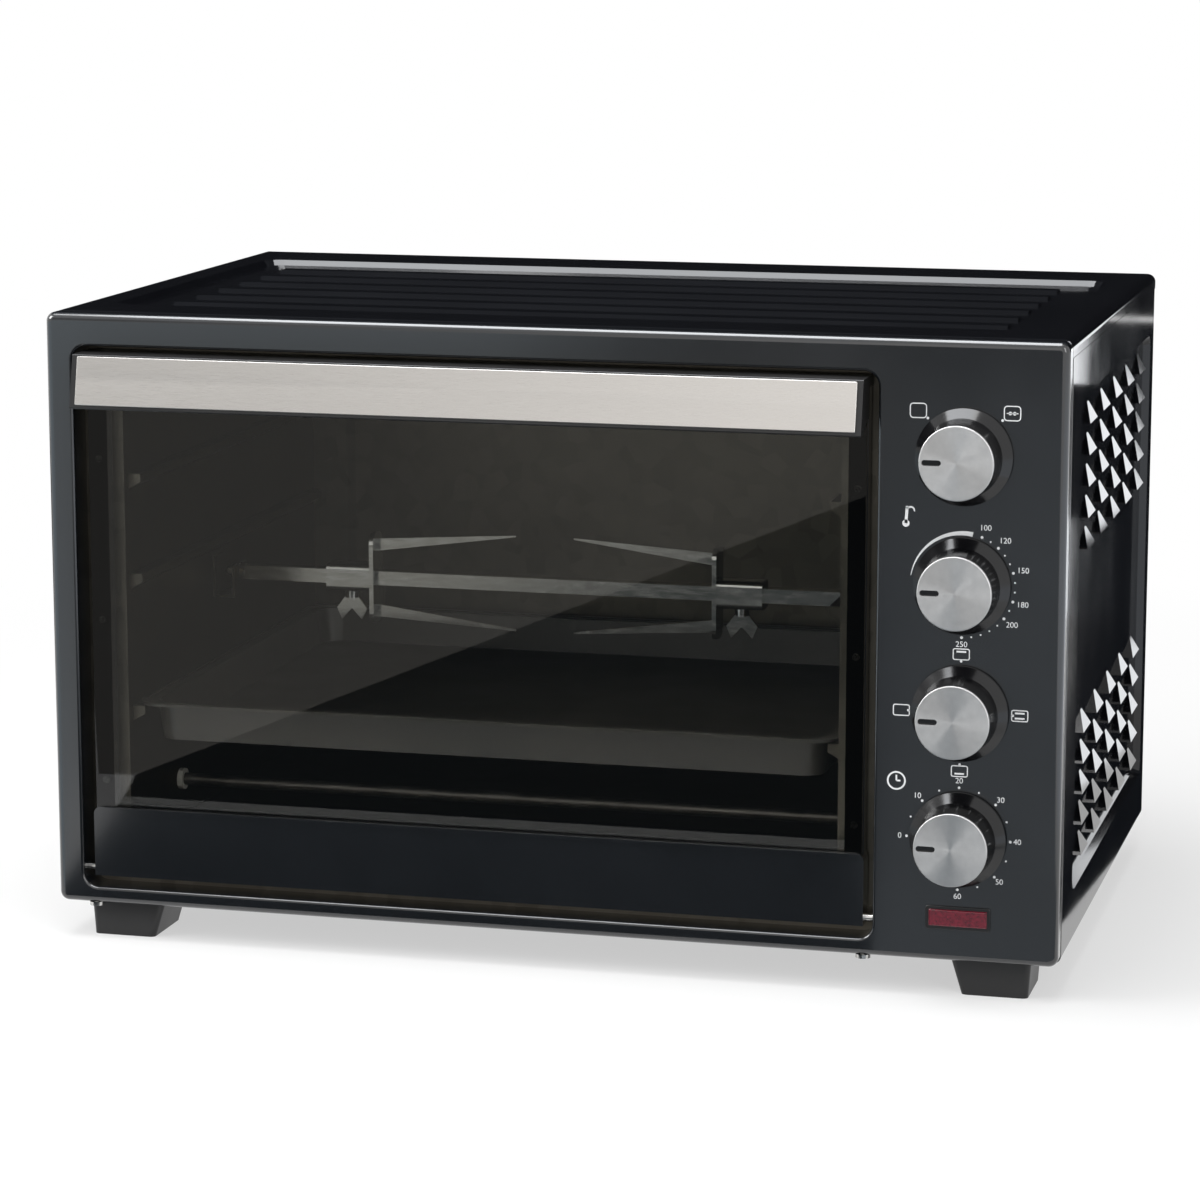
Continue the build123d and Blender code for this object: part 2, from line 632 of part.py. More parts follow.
cavity_level(CAVITY_HIGH, FLANGE_TOP, "cavity_ceiling")
cavity_level(CAVITY_LOW, FLANGE_BOTTOM, "cavity_floor")

# Tubular heaters, each through both side walls, with a ceramic bush in each wall
HEATER_L = CAVITY_W + 2 * (LINER + HEATER_TAIL)
heater_start = CAVITY_LEFT - LINER - HEATER_TAIL
for heater_name, heater_up in (("upper_heaters", UPPER_HEATERS_UP), ("lower_heaters", LOWER_HEATERS_UP)):
    with BuildPart() as heaters:
        with BuildSketch(across(heater_start)):
            with Locations([(depth(back), up(heater_up)) for back in HEATERS_BACK]):
                Circle(HEATER_D / 2)
        extrude(amount=HEATER_L)
        with BuildSketch(across(heater_start - TERMINAL_L)):
            with Locations([(depth(back), up(heater_up)) for back in HEATERS_BACK]):
                Circle(TERMINAL_D / 2)
        extrude(amount=HEATER_L + 2 * TERMINAL_L)
    finish(heaters, heater_name)

with BuildPart() as heater_insulators:
    heater_axes = [(depth(back), up(height)) for back in HEATERS_BACK
                   for height in (UPPER_HEATERS_UP, LOWER_HEATERS_UP)]
    for wall_x, out in ((CAVITY_LEFT, -1), (CAVITY_RIGHT, 1)):
        with BuildSketch(across(wall_x + out * LINER)):
            with Locations(heater_axes):
                Circle(CERAMIC_COLLAR_D / 2)
                Circle(HEATER_D / 2, mode=Mode.SUBTRACT)
        extrude(amount=out * CERAMIC_COLLAR_T)
        with BuildSketch(across(wall_x + out * LINER)):
            with Locations(heater_axes):
                Circle(CERAMIC_D / 2)
                Circle(HEATER_D / 2, mode=Mode.SUBTRACT)
        extrude(amount=-out * (LINER + CERAMIC_NOSE))
finish(heater_insulators, "heater_insulators")

# Spit support: a U-notched ear on the left wall
EAR_X = CAVITY_LEFT + SUPPORT_REACH
with BuildPart() as spit_support:
    with BuildSketch(Plane.XZ.offset(-SPIT_Y - SUPPORT_W / 2)):
        with BuildLine():
            Polyline(
                (CAVITY_LEFT, SPIT_Z + SUPPORT_RISE),
                (CAVITY_LEFT, SPIT_Z - SUPPORT_DROP),
                (EAR_X, SPIT_Z - SUPPORT_DROP),
                (EAR_X, SPIT_Z + JOURNAL_COLLAR_D / 2),
                (EAR_X - SUPPORT_T, SPIT_Z + JOURNAL_COLLAR_D / 2),
                (EAR_X - SUPPORT_T, SPIT_Z - SUPPORT_DROP + SUPPORT_T),
                (CAVITY_LEFT + SUPPORT_T, SPIT_Z - SUPPORT_DROP + SUPPORT_T),
                (CAVITY_LEFT + SUPPORT_T, SPIT_Z + SUPPORT_RISE),
                close=True,
            )
        make_face()
    extrude(amount=SUPPORT_W)
    with BuildSketch(across(EAR_X)):
        with Locations((SPIT_Y, SPIT_Z)):
            Circle(JOURNAL_D / 2 + FIT)
            Rectangle(JOURNAL_D + 2 * FIT, SUPPORT_DROP, align=(Align.CENTER, Align.MIN))
    extrude(amount=-SUPPORT_T, mode=Mode.SUBTRACT)
finish(spit_support, "spit_support")

# Spit rod: square bar, turned journal with two collars at the left, tapered end at the drive socket
SPIT_LEFT = CAVITY_LEFT + SPIT_END_GAP
SOCKET_X = CAVITY_RIGHT - SOCKET_NOSE
BAR_LEFT = EAR_X + FIT + JOURNAL_COLLAR_T
BAR_RIGHT = SOCKET_X + SOCKET_DEPTH - FIT
with BuildPart() as spit_rod:
    with BuildSketch(across(BAR_LEFT)):
        with Locations((SPIT_Y, SPIT_Z)):
            Rectangle(SPIT_BAR, SPIT_BAR)
    extrude(amount=BAR_RIGHT - BAR_LEFT)
    with BuildSketch(across(SPIT_LEFT)):
        with Locations((SPIT_Y, SPIT_Z)):
            Circle(JOURNAL_D / 2)
    extrude(amount=BAR_LEFT - SPIT_LEFT)
    with BuildSketch(across(EAR_X + FIT)):
        with Locations((SPIT_Y, SPIT_Z)):
            Circle(JOURNAL_COLLAR_D / 2)
    extrude(amount=JOURNAL_COLLAR_T)
    with BuildSketch(across(EAR_X - SUPPORT_T - FIT)):
        with Locations((SPIT_Y, SPIT_Z)):
            Circle(JOURNAL_COLLAR_D / 2)
    extrude(amount=-JOURNAL_COLLAR_T)
    chamfer(spit_rod.faces().sort_by(Axis.X)[-1].edges(), SPIT_POINT_L, SPIT_POINT_W)
    chamfer(spit_rod.faces().sort_by(Axis.X)[0].edges(), SPIT_POINT_W)
finish(spit_rod, "spit_rod")

# Drive socket: square-holed cup through the right wall, with a stub in the motor
SOCKET_END = CAVITY_RIGHT + LINER + SOCKET_TAIL
with BuildPart() as drive_socket:
    with BuildSketch(across(SOCKET_X)):
        with Locations((SPIT_Y, SPIT_Z)):
            Circle(SOCKET_D / 2)
    extrude(amount=SOCKET_END - SOCKET_X)
    chamfer(drive_socket.faces().sort_by(Axis.X)[0].edges(), SHEET)
    with BuildSketch(across(SOCKET_END)):
        with Locations((SPIT_Y, SPIT_Z)):
            Circle(SOCKET_STUB_D / 2)
    extrude(amount=SOCKET_STUB_L)
    with BuildSketch(across(SOCKET_X)):
        with Locations((SPIT_Y, SPIT_Z)):
            Rectangle(SPIT_BAR + 2 * FIT, SPIT_BAR + 2 * FIT)
    extrude(amount=SOCKET_DEPTH, mode=Mode.SUBTRACT)
finish(drive_socket, "drive_socket")

# Gear motor on a hat-shaped bracket that keeps it off the hot wall
WALL_OUT = CAVITY_RIGHT + LINER
PLATE_X = WALL_OUT + BRACKET_STAND
with BuildPart() as motor_bracket:
    with BuildSketch(Plane.XY.offset(SPIT_Z - BRACKET_WIDTH / 2)):
        with BuildLine():
            half = BRACKET_SPAN / 2
            Polyline(
                (WALL_OUT, SPIT_Y - half - BRACKET_FOOT),
                (WALL_OUT, SPIT_Y - half),
                (PLATE_X, SPIT_Y - half),
                (PLATE_X, SPIT_Y + half),
                (WALL_OUT, SPIT_Y + half),
                (WALL_OUT, SPIT_Y + half + BRACKET_FOOT),
            )
            offset(amount=BRACKET_PLATE, kind=Kind.INTERSECTION, side=Side.RIGHT)
        make_face()
    extrude(amount=BRACKET_WIDTH)
    with BuildSketch(across(WALL_OUT)):
        with Locations((SPIT_Y, SPIT_Z)):
            Circle(SOCKET_D / 2 + WALL_HOLE_CLEAR)
    extrude(amount=BRACKET_STAND + BRACKET_PLATE, mode=Mode.SUBTRACT)
finish(motor_bracket, "motor_bracket")

MOTOR_X = PLATE_X + BRACKET_PLATE
with BuildPart() as rotisserie_motor:
    with BuildSketch(across(MOTOR_X)):
        with Locations((SPIT_Y, SPIT_Z)):
            Circle(MOTOR_D / 2)
    extrude(amount=MOTOR_T)
    fillet(rotisserie_motor.faces().sort_by(Axis.X)[-1].edges(), FOOT_R)
    with BuildSketch(across(MOTOR_X)):
        with Locations((SPIT_Y, SPIT_Z)):
            SlotCenterToCenter(MOTOR_EAR_SPAN, MOTOR_EAR_W)
    extrude(amount=MOTOR_EAR_T)
    with BuildSketch(across(MOTOR_X)):
        with Locations((SPIT_Y, SPIT_Z)):
            Circle(MOTOR_BOSS_D / 2)
    extrude(amount=-BRACKET_PLATE - MOTOR_BOSS_T / 2)
    with BuildSketch(across(MOTOR_X - BRACKET_PLATE - MOTOR_BOSS_T / 2)):
        with Locations((SPIT_Y, SPIT_Z)):
            Circle(SOCKET_STUB_D / 2 + RUNNING)
    extrude(amount=SOCKET_STUB_L + MOTOR_BOSS_T, mode=Mode.SUBTRACT)
finish(rotisserie_motor, "rotisserie_motor")

# Forks: a cross plate with two tapered tines, on a square-holed hub that a wing screw clamps


def fork(plate_x, ahead, name):
    """A fork whose plate's front face is at plate_x, with tines pointing along ahead, 1 or -1."""
    with BuildPart() as piece:
        with BuildSketch(across(plate_x)):
            with Locations((SPIT_Y, SPIT_Z)):
                RectangleRounded(FORK_PLATE_W, FORK_PLATE_H, FORK_PLATE_W / 3)
        extrude(amount=-ahead * FORK_PLATE_T)
        with BuildSketch(across(plate_x - ahead * FORK_PLATE_T)):
            with Locations((SPIT_Y, SPIT_Z)):
                RectangleRounded(FORK_HUB_W, FORK_HUB_W, FOOT_R)
        extrude(amount=-ahead * FORK_HUB_L)
        for side in (1, -1):
            root_z = SPIT_Z + side * (FORK_PLATE_H / 2 - TINE_W)
            with BuildSketch(across(plate_x)):
                with Locations((SPIT_Y, root_z)):
                    Rectangle(TINE_T, TINE_W)
            with BuildSketch(across(plate_x + ahead * TINE_L)):
                with Locations((SPIT_Y, root_z + side * TINE_SPREAD)):
                    Rectangle(TINE_TIP, TINE_TIP)
            loft(ruled=True)
        with BuildSketch(across(plate_x)):
            with Locations((SPIT_Y, SPIT_Z)):
                Rectangle(SPIT_BAR + 2 * FIT, SPIT_BAR + 2 * FIT)
        extrude(amount=-ahead * (FORK_PLATE_T + FORK_HUB_L), mode=Mode.SUBTRACT)
        with BuildSketch(Plane.XY.offset(SPIT_Z - FORK_HUB_W / 2)):
            with Locations((plate_x - ahead * (FORK_PLATE_T + FORK_HUB_L / 2), SPIT_Y)):
                Circle(SCREW_SHANK_D / 2 + RUNNING)
        extrude(amount=FORK_HUB_W / 2, mode=Mode.SUBTRACT)
    finish(piece, name)


def fork_screw(plate_x, ahead, name):
    """The wing screw under a fork's hub."""
    screw_x = plate_x - ahead * (FORK_PLATE_T + FORK_HUB_L / 2)
    hub_low = SPIT_Z - FORK_HUB_W / 2
    with BuildPart() as piece:
        with BuildSketch(Plane.XY.offset(SPIT_Z - SPIT_BAR / 2 - FIT)):
            with Locations((screw_x, SPIT_Y)):
                Circle(SCREW_SHANK_D / 2)
        extrude(amount=-(FORK_HUB_W - SPIT_BAR) / 2 - WING_NECK)
        with BuildSketch(Plane.XY.offset(hub_low - FIT)):
            with Locations((screw_x, SPIT_Y)):
                Circle(WING_COLLAR_D / 2)
        extrude(amount=-WING_NECK)
        with BuildSketch(Plane.XZ.offset(-SPIT_Y - WING_T / 2)):
            with BuildLine():
                wing_top = hub_low - WING_NECK
                Polyline(
                    (screw_x - SCREW_SHANK_D, wing_top),
                    (screw_x - WING_W / 2, wing_top - WING_H / 2),
                    (screw_x - WING_W / 3, wing_top - WING_H),
                    (screw_x, wing_top - WING_H / 2),
                    (screw_x + WING_W / 3, wing_top - WING_H),
                    (screw_x + WING_W / 2, wing_top - WING_H / 2),
                    (screw_x + SCREW_SHANK_D, wing_top),
                    close=True,
                )
            make_face()
        extrude(amount=WING_T)
    finish(piece, name)


for fork_side, fork_x, fork_ahead in (("left", FORK_LEFT_X, 1), ("right", FORK_RIGHT_X, -1)):
    fork(fork_x, fork_ahead, f"{fork_side}_fork")
    fork_screw(fork_x, fork_ahead, f"{fork_side}_fork_screw")

# Baking tray: a tapered pan whose beaded rim rides on the lowest guides
RIM_Z = up(GUIDES_UP[0]) + FIT
TRAY_RIM_W = CAVITY_W - 2 * TRAY_SIDE_GAP
TRAY_RIM_D = TRAY_BACK - TRAY_FRONT
TRAY_W = CAVITY_W - 2 * (GUIDE_REACH + TRAY_SIDE_GAP)
TRAY_D = TRAY_RIM_D - 2 * GUIDE_REACH
TRAY_Y = depth((TRAY_FRONT + TRAY_BACK) / 2)
with BuildPart() as baking_tray:
    with BuildSketch(Plane.XY.offset(RIM_Z)):
        with Locations((CAVITY_X, TRAY_Y)):
            RectangleRounded(TRAY_W, TRAY_D, TRAY_CORNER_R)
    extrude(amount=-TRAY_DEPTH, taper=TRAY_TAPER)
    with BuildSketch(Plane.XY.offset(RIM_Z)):
        with Locations((CAVITY_X, TRAY_Y)):
            RectangleRounded(TRAY_RIM_W, TRAY_RIM_D, TRAY_CORNER_R)
    extrude(amount=LINER)
    with BuildSketch(Plane.XY.offset(RIM_Z + LINER)):
        with Locations((CAVITY_X, TRAY_Y)):
            RectangleRounded(TRAY_RIM_W, TRAY_RIM_D, TRAY_CORNER_R)
            RectangleRounded(
                TRAY_RIM_W - 2 * TRAY_BEAD_T,
                TRAY_RIM_D - 2 * TRAY_BEAD_T,
                TRAY_CORNER_R,
                mode=Mode.SUBTRACT,
            )
    extrude(amount=LINER)
    with BuildSketch(Plane.XY.offset(RIM_Z + LINER)):
        with Locations((CAVITY_X, TRAY_Y)):
            RectangleRounded(TRAY_W - 2 * LINER, TRAY_D - 2 * LINER, TRAY_CORNER_R)
    extrude(amount=-TRAY_DEPTH, taper=TRAY_TAPER, mode=Mode.SUBTRACT)
finish(baking_tray, "baking_tray")

# Door frame: a channel-section ring behind the glass, open to the rear
FRAME_LOW = DOOR_BOTTOM + DOOR_SHEET
FRAME_W = DOOR_W - 2 * DOOR_SHEET
FRAME_H = GLASS_TOP - FRAME_LOW
WINDOW_LOW = DOOR_BOTTOM + RAIL_H
WINDOW_HIGH = GLASS_TOP - FRAME_TOP_W
WINDOW_W = DOOR_W - 2 * STILE_W - 2 * DOOR_SHEET
WINDOW_H = WINDOW_HIGH - WINDOW_LOW
frame_middle = (DOOR_X, up(FRAME_LOW + FRAME_H / 2))
window_middle = (DOOR_X, up((WINDOW_LOW + WINDOW_HIGH) / 2))
rivet_xs = [DOOR_X + side * (WINDOW_W / 2 + STILE_W / 2) for side in (-1, 1)]
rivet_places = [(x, up(WINDOW_LOW + share * WINDOW_H)) for x in rivet_xs for share in RIVET_SHARES]
screw_up = GLASS_TOP - HANDLE_CLAMP_H / 2
SCREW_PITCH = (DOOR_W - 2 * HANDLE_SCREW_INSET) / (HANDLE_SCREWS - 1)
screw_xs = [DOOR_LEFT + HANDLE_SCREW_INSET + i * SCREW_PITCH for i in range(HANDLE_SCREWS)]
screw_places = [(x, up(screw_up)) for x in screw_xs]
with BuildPart() as door_frame:
    with BuildSketch(facing(FRAME_FRONT)):
        with Locations(frame_middle):
            Rectangle(FRAME_W, FRAME_H)
        with Locations(window_middle):
            Rectangle(WINDOW_W, WINDOW_H, mode=Mode.SUBTRACT)
    extrude(amount=-FRAME_DEPTH)
    with BuildSketch(facing(FRAME_FRONT + DOOR_SHEET)):
        with Locations(frame_middle):
            Rectangle(FRAME_W - 2 * DOOR_SHEET, FRAME_H - 2 * DOOR_SHEET)
        with Locations(window_middle):
            Rectangle(WINDOW_W + 2 * DOOR_SHEET, WINDOW_H + 2 * DOOR_SHEET, mode=Mode.SUBTRACT)
    extrude(amount=-FRAME_DEPTH, mode=Mode.SUBTRACT)
    with BuildSketch(facing(FRAME_FRONT)):
        with Locations(rivet_places):
            Circle(RIVET_D / 2)
        with Locations(screw_places):
            Circle(SCREW_D / 2)
    extrude(amount=-DOOR_SHEET, mode=Mode.SUBTRACT)
finish(door_frame, "door_frame")

with BuildPart() as door_rivets:
    with BuildSketch(facing(FRAME_FRONT)):
        with Locations(rivet_places):
            Circle(RIVET_D / 2)
    extrude(amount=-DOOR_SHEET)
    with BuildSketch(facing(FRAME_FRONT + DOOR_SHEET)):
        with Locations(rivet_places):
            Circle(RIVET_HEAD_D / 2)
    extrude(amount=-RIVET_HEAD_T)
finish(door_rivets, "door_rivets")

# Glass, held between the frame, the handle and the lower rail
with BuildPart() as door_glass:
    with BuildSketch(facing(GLASS_FRONT)):
        with Locations(frame_middle):
            Rectangle(FRAME_W - 2 * FIT, FRAME_H)
        with Locations(screw_places):
            Circle(SCREW_D / 2 + FIT, mode=Mode.SUBTRACT)
    extrude(amount=-GLASS_T)
finish(door_glass, "door_glass")

# Lower rail: a folded sheet with a hemmed upper edge and closed ends that hold the hinge pins
with BuildPart() as door_lower_rail:
    with BuildSketch(facing(DOOR_FRONT)):
        with Locations((DOOR_X, up(DOOR_BOTTOM))):
            Rectangle(DOOR_W, RAIL_H, align=(Align.CENTER, Align.MIN))
    extrude(amount=-(FRAME_BACK - DOOR_FRONT))
    rail_tops = door_lower_rail.edges().filter_by(Axis.Y).group_by(Axis.Z)[-1]
    fillet(rail_tops, RAIL_CORNER_R)
    with BuildSketch(facing(DOOR_FRONT + DOOR_SHEET)):
        with Locations((DOOR_X, up(FRAME_LOW))):
            Rectangle(FRAME_W, RAIL_H, align=(Align.CENTER, Align.MIN))
    extrude(amount=-FRAME_BACK, mode=Mode.SUBTRACT)
    with BuildSketch(facing(DOOR_FRONT)):
        with Locations((DOOR_X, up(DOOR_BOTTOM + RAIL_H))):
            SlotOverall(DOOR_W - 2 * RAIL_CORNER_R, HEM_H, align=(Align.CENTER, Align.MAX))
    extrude(amount=HEM_T)
    with BuildSketch(across(DOOR_LEFT)):
        with Locations((HINGE_Y, HINGE_Z)):
            Circle(HINGE_PIN_D / 2)
    extrude(amount=DOOR_W, mode=Mode.SUBTRACT)
finish(door_lower_rail, "door_lower_rail")

# Hinge pins, fast in the rail's ends, and the brackets that they turn in
PIN_L = DOOR_SHEET + DOOR_GAP + FASCIA_SHEET + BRACKET_T
with BuildPart() as hinge_pins:
    for end_x, out in ((DOOR_LEFT + DOOR_SHEET, -1), (DOOR_RIGHT - DOOR_SHEET, 1)):
        with BuildSketch(across(end_x)):
            with Locations((HINGE_Y, HINGE_Z)):
                Circle(HINGE_PIN_D / 2)
        extrude(amount=out * PIN_L)
finish(hinge_pins, "hinge_pins")


def hinge_bracket(inner_x, out, name):
    """An angle on the cavity's front flange with the pin's hole."""
    with BuildPart() as piece:
        with BuildSketch(Plane.XY.offset(HINGE_Z - BRACKET_H / 2)):
            with BuildLine():
                Polyline(
                    (inner_x, depth(DOOR_FRONT)),
                    (inner_x, depth(CAVITY_FRONT)),
                    (inner_x + out * BRACKET_H / 2, depth(CAVITY_FRONT)),
                    (inner_x + out * BRACKET_H / 2, depth(CAVITY_FRONT - BRACKET_T)),
                    (inner_x + out * BRACKET_T, depth(CAVITY_FRONT - BRACKET_T)),
                    (inner_x + out * BRACKET_T, depth(DOOR_FRONT)),
                    close=True,
                )
            make_face()
        extrude(amount=BRACKET_H)
        with BuildSketch(across(inner_x)):
            with Locations((HINGE_Y, HINGE_Z)):
                Circle(HINGE_PIN_D / 2 + RUNNING)
        extrude(amount=out * BRACKET_T, mode=Mode.SUBTRACT)
    finish(piece, name)


hinge_bracket(DOOR_LEFT - DOOR_GAP - FASCIA_SHEET, -1, "left_hinge_bracket")
hinge_bracket(DOOR_RIGHT + DOOR_GAP + FASCIA_SHEET, 1, "right_hinge_bracket")

# Door arms: arcs about the hinge that run in the flange slots. The stop pin at each tail meets the flange's back
# when the door is fully down
STOP_BACK = CAVITY_FRONT + LINER + FIT + ARM_PIN_D / 2 - HINGE_BACK
ARM_PIN_ANGLE = degrees(acos(STOP_BACK / ARM_R)) - DOOR_SWING
ARM_TAIL = degrees(ARM_PIN_D / ARM_R) - ARM_PIN_ANGLE


def door_arm(arm_x, name):
    """An arm in the plane x = arm_x."""
    root = degrees(acos((FRAME_FRONT + DOOR_SHEET - HINGE_BACK) / (ARM_R - ARM_W / 2)))
    pin_angle = radians(ARM_PIN_ANGLE)
    with BuildPart() as piece:
        with BuildSketch(across(arm_x - ARM_T / 2)):
            with BuildLine():
                inner = CenterArc((HINGE_Y, HINGE_Z), ARM_R - ARM_W / 2, -ARM_TAIL, root + ARM_TAIL)
                outer = CenterArc((HINGE_Y, HINGE_Z), ARM_R + ARM_W / 2, -ARM_TAIL, root + ARM_TAIL)
                Line(inner @ 0, outer @ 0)
                Line(inner @ 1, outer @ 1)
            make_face()
        extrude(amount=ARM_T)
        with BuildSketch(across(arm_x - ARM_PIN_L / 2)):
            with Locations((HINGE_Y + ARM_R * cos(pin_angle), HINGE_Z + ARM_R * sin(pin_angle))):
                Circle(ARM_PIN_D / 2)
        extrude(amount=ARM_PIN_L)
    finish(piece, name)


door_arm(ARM_LEFT_X, "left_door_arm")
door_arm(ARM_RIGHT_X, "right_door_arm")

# Handle bar: a leaning grip hung from a top wall, with a clamp on the glass and closed ends
HANDLE_LOW = HANDLE_TOP - HANDLE_DROP
CLAMP_FRONT = GLASS_FRONT - HANDLE_WALL
CLAMP_LOW = GLASS_TOP - HANDLE_CLAMP_H
TOP_WALL_LOW = GLASS_TOP
lean_run = HANDLE_WALL * hypot(HANDLE_LEAN, HANDLE_DROP) / HANDLE_DROP
wall_drop = (HANDLE_TOP - TOP_WALL_LOW) * HANDLE_LEAN / HANDLE_DROP
GRIP_TOP = (depth(-HANDLE_REACH), up(HANDLE_TOP))
GRIP_LOW = (depth(-HANDLE_REACH - HANDLE_LEAN), up(HANDLE_LOW))
with BuildPart() as handle_bar:
    with BuildSketch(across(DOOR_LEFT)):
        with BuildLine():
            Polyline(
                (depth(FRAME_BACK), up(HANDLE_TOP)),
                GRIP_TOP,
                GRIP_LOW,
                (depth(-HANDLE_REACH - HANDLE_LEAN + lean_run), up(HANDLE_LOW)),
                (depth(-HANDLE_REACH - wall_drop + lean_run), up(TOP_WALL_LOW)),
                (depth(CLAMP_FRONT), up(TOP_WALL_LOW)),
                (depth(CLAMP_FRONT), up(CLAMP_LOW)),
                (depth(GLASS_FRONT), up(CLAMP_LOW)),
                (depth(GLASS_FRONT), up(TOP_WALL_LOW)),
                (depth(FRAME_BACK), up(TOP_WALL_LOW)),
                close=True,
            )
        make_face()
    extrude(amount=DOOR_W)
    grip_edges = handle_bar.edges().filter_by(Axis.X).sort_by(Axis.Y)
    fillet([grip_edges[0], grip_edges[2]], TRIM_T)
    for end_x, inwards in ((DOOR_LEFT, 1), (DOOR_RIGHT, -1)):
        with BuildSketch(across(end_x)):
            with BuildLine():
                Polyline(
                    (depth(CLAMP_FRONT), up(TOP_WALL_LOW)),
                    (depth(-HANDLE_REACH - wall_drop + lean_run), up(TOP_WALL_LOW)),
                    (depth(-HANDLE_REACH - HANDLE_LEAN + lean_run), up(HANDLE_LOW)),
                    (depth(CLAMP_FRONT), up(CLAMP_LOW)),
                    close=True,
                )
            make_face()
        extrude(amount=inwards * HANDLE_END)
    with BuildSketch(facing(GLASS_FRONT)):
        with Locations(screw_places):
            Circle(SCREW_D / 2)
    extrude(amount=HANDLE_WALL, mode=Mode.SUBTRACT)
finish(handle_bar, "handle_bar")

# Brushed trim on the grip's leaning face
GRIP_L = hypot(HANDLE_LEAN, HANDLE_DROP)
grip_plane = Plane(
    origin=(DOOR_X, *GRIP_LOW),
    x_dir=(1, 0, 0),
    z_dir=(0, -HANDLE_DROP, HANDLE_LEAN),
)
with BuildPart() as handle_trim:
    with BuildSketch(grip_plane):
        with Locations((0, TRIM_BOTTOM_LIP)):
            RectangleRounded(
                DOOR_W - 2 * TRIM_END,
                GRIP_L - TRIM_BOTTOM_LIP - TRIM_TOP_LIP,
                TRIM_T,
                align=(Align.CENTER, Align.MIN),
            )
    extrude(amount=TRIM_T)
    fillet(handle_trim.faces().sort_by(Axis(grip_plane.origin, grip_plane.z_dir))[-1].edges(), TRIM_T / 2)
finish(handle_trim, "handle_trim")

with BuildPart() as handle_screws:
    with BuildSketch(facing(CLAMP_FRONT)):
        with Locations(screw_places):
            Circle(SCREW_D / 2)
    extrude(amount=-(FRAME_FRONT + DOOR_SHEET - CLAMP_FRONT))
    with BuildSketch(facing(FRAME_FRONT + DOOR_SHEET)):
        with Locations(screw_places):
            Circle(SCREW_HEAD_D / 2)
    extrude(amount=-SCREW_HEAD_H)
finish(handle_screws, "handle_screws")

# Knobs: a turned body with a wide skirt, hollow from behind, with a metal cap and a control shaft
CAP_BACK = KNOB_REACH - CAP_T


def knob(knob_up, name):
    """One knob, its cap with the pointer slot at nine o'clock, and its shaft."""
    axis = Axis((KNOB_X, 0, up(knob_up)), (0, 1, 0))
    side = Plane(origin=(KNOB_X, 0, up(knob_up)), x_dir=(1, 0, 0), z_dir=(0, 0, 1))
    with BuildPart() as body:
        with BuildSketch(side):
            with BuildLine():
                Polyline(
                    (0, depth(-KNOB_GAP)),
                    (SKIRT_D / 2, depth(-KNOB_GAP)),
                    (SKIRT_D / 2, depth(-KNOB_GAP - SKIRT_T)),
                    (KNOB_D / 2, depth(-KNOB_GAP - SKIRT_T - SKIRT_SLOPE_T)),
                    (CAP_D / 2, depth(-CAP_BACK)),
                    (0, depth(-CAP_BACK)),
                    close=True,
                )
            make_face()
        revolve(axis=axis)
        with BuildSketch(facing(0)):
            with Locations((KNOB_X, up(knob_up))):
                Circle(KNOB_D / 2 - KNOB_WALL)
                Circle(KNOB_HUB_D / 2, mode=Mode.SUBTRACT)
        extrude(amount=CAP_BACK - KNOB_WALL, mode=Mode.SUBTRACT)
        with BuildSketch(facing(0)):
            with Locations((KNOB_X, up(knob_up))):
                Circle(SHAFT_D / 2)
        extrude(amount=SHAFT_OUT, mode=Mode.SUBTRACT)
    finish(body, f"{name}_knob")
    with BuildPart() as cap:
        with BuildSketch(facing(-CAP_BACK)):
            with Locations((KNOB_X, up(knob_up))):
                Circle(CAP_D / 2)
            with Locations((KNOB_X - (POINTER_OUT + POINTER_IN) / 2, up(knob_up))):
                SlotOverall(POINTER_OUT - POINTER_IN, POINTER_W, mode=Mode.SUBTRACT)
        extrude(amount=CAP_T)
        fillet(cap.faces().sort_by(Axis.Y)[0].outer_wire().edges(), CAP_EDGE_R)
    finish(cap, f"{name}_knob_cap")
    with BuildPart() as shaft:
        with BuildSketch(facing(SHAFT_IN)):
            with Locations((KNOB_X, up(knob_up))):
                Circle(SHAFT_D / 2)
        extrude(amount=SHAFT_IN + SHAFT_OUT)
    finish(shaft, f"{name}_shaft")


for knob_name, knob_up in zip(KNOB_NAMES, KNOB_UPS):
    knob(knob_up, knob_name)


def blades(middle_up, back, columns, rows):
    """Sketch of the push-on terminal blades behind a control."""
    with BuildSketch(facing(back)) as outline:
        with Locations((KNOB_X, up(middle_up))):
            with GridLocations(BLADE_SPACING, BLADE_SPACING, columns, rows):
                Rectangle(BLADE_T, BLADE_W)
    return outline.sketch


def shaft_hole(middle_up):
    """Sketch of the bore that a control's shaft turns in."""
    with BuildSketch(facing(FASCIA_SHEET)) as outline:
        with Locations((KNOB_X, up(middle_up))):
            Circle(SHAFT_D / 2 + RUNNING)
    return outline.sketch


# Controls on the back of the fascia: two rotary switches, the thermostat and the clockwork timer
with BuildPart() as function_switch:
    with BuildSketch(facing(FASCIA_SHEET)):
        with Locations((KNOB_X, up(KNOB_UPS[0]))):
            RectangleRounded(SWITCH_W, SWITCH_W, FOOT_R)
    extrude(amount=-SWITCH_D)
    extrude(blades(KNOB_UPS[0], FASCIA_SHEET + SWITCH_D, 2, 2), amount=-BLADE_L)
    extrude(shaft_hole(KNOB_UPS[0]), amount=-SHAFT_IN, mode=Mode.SUBTRACT)
finish(function_switch, "function_switch")

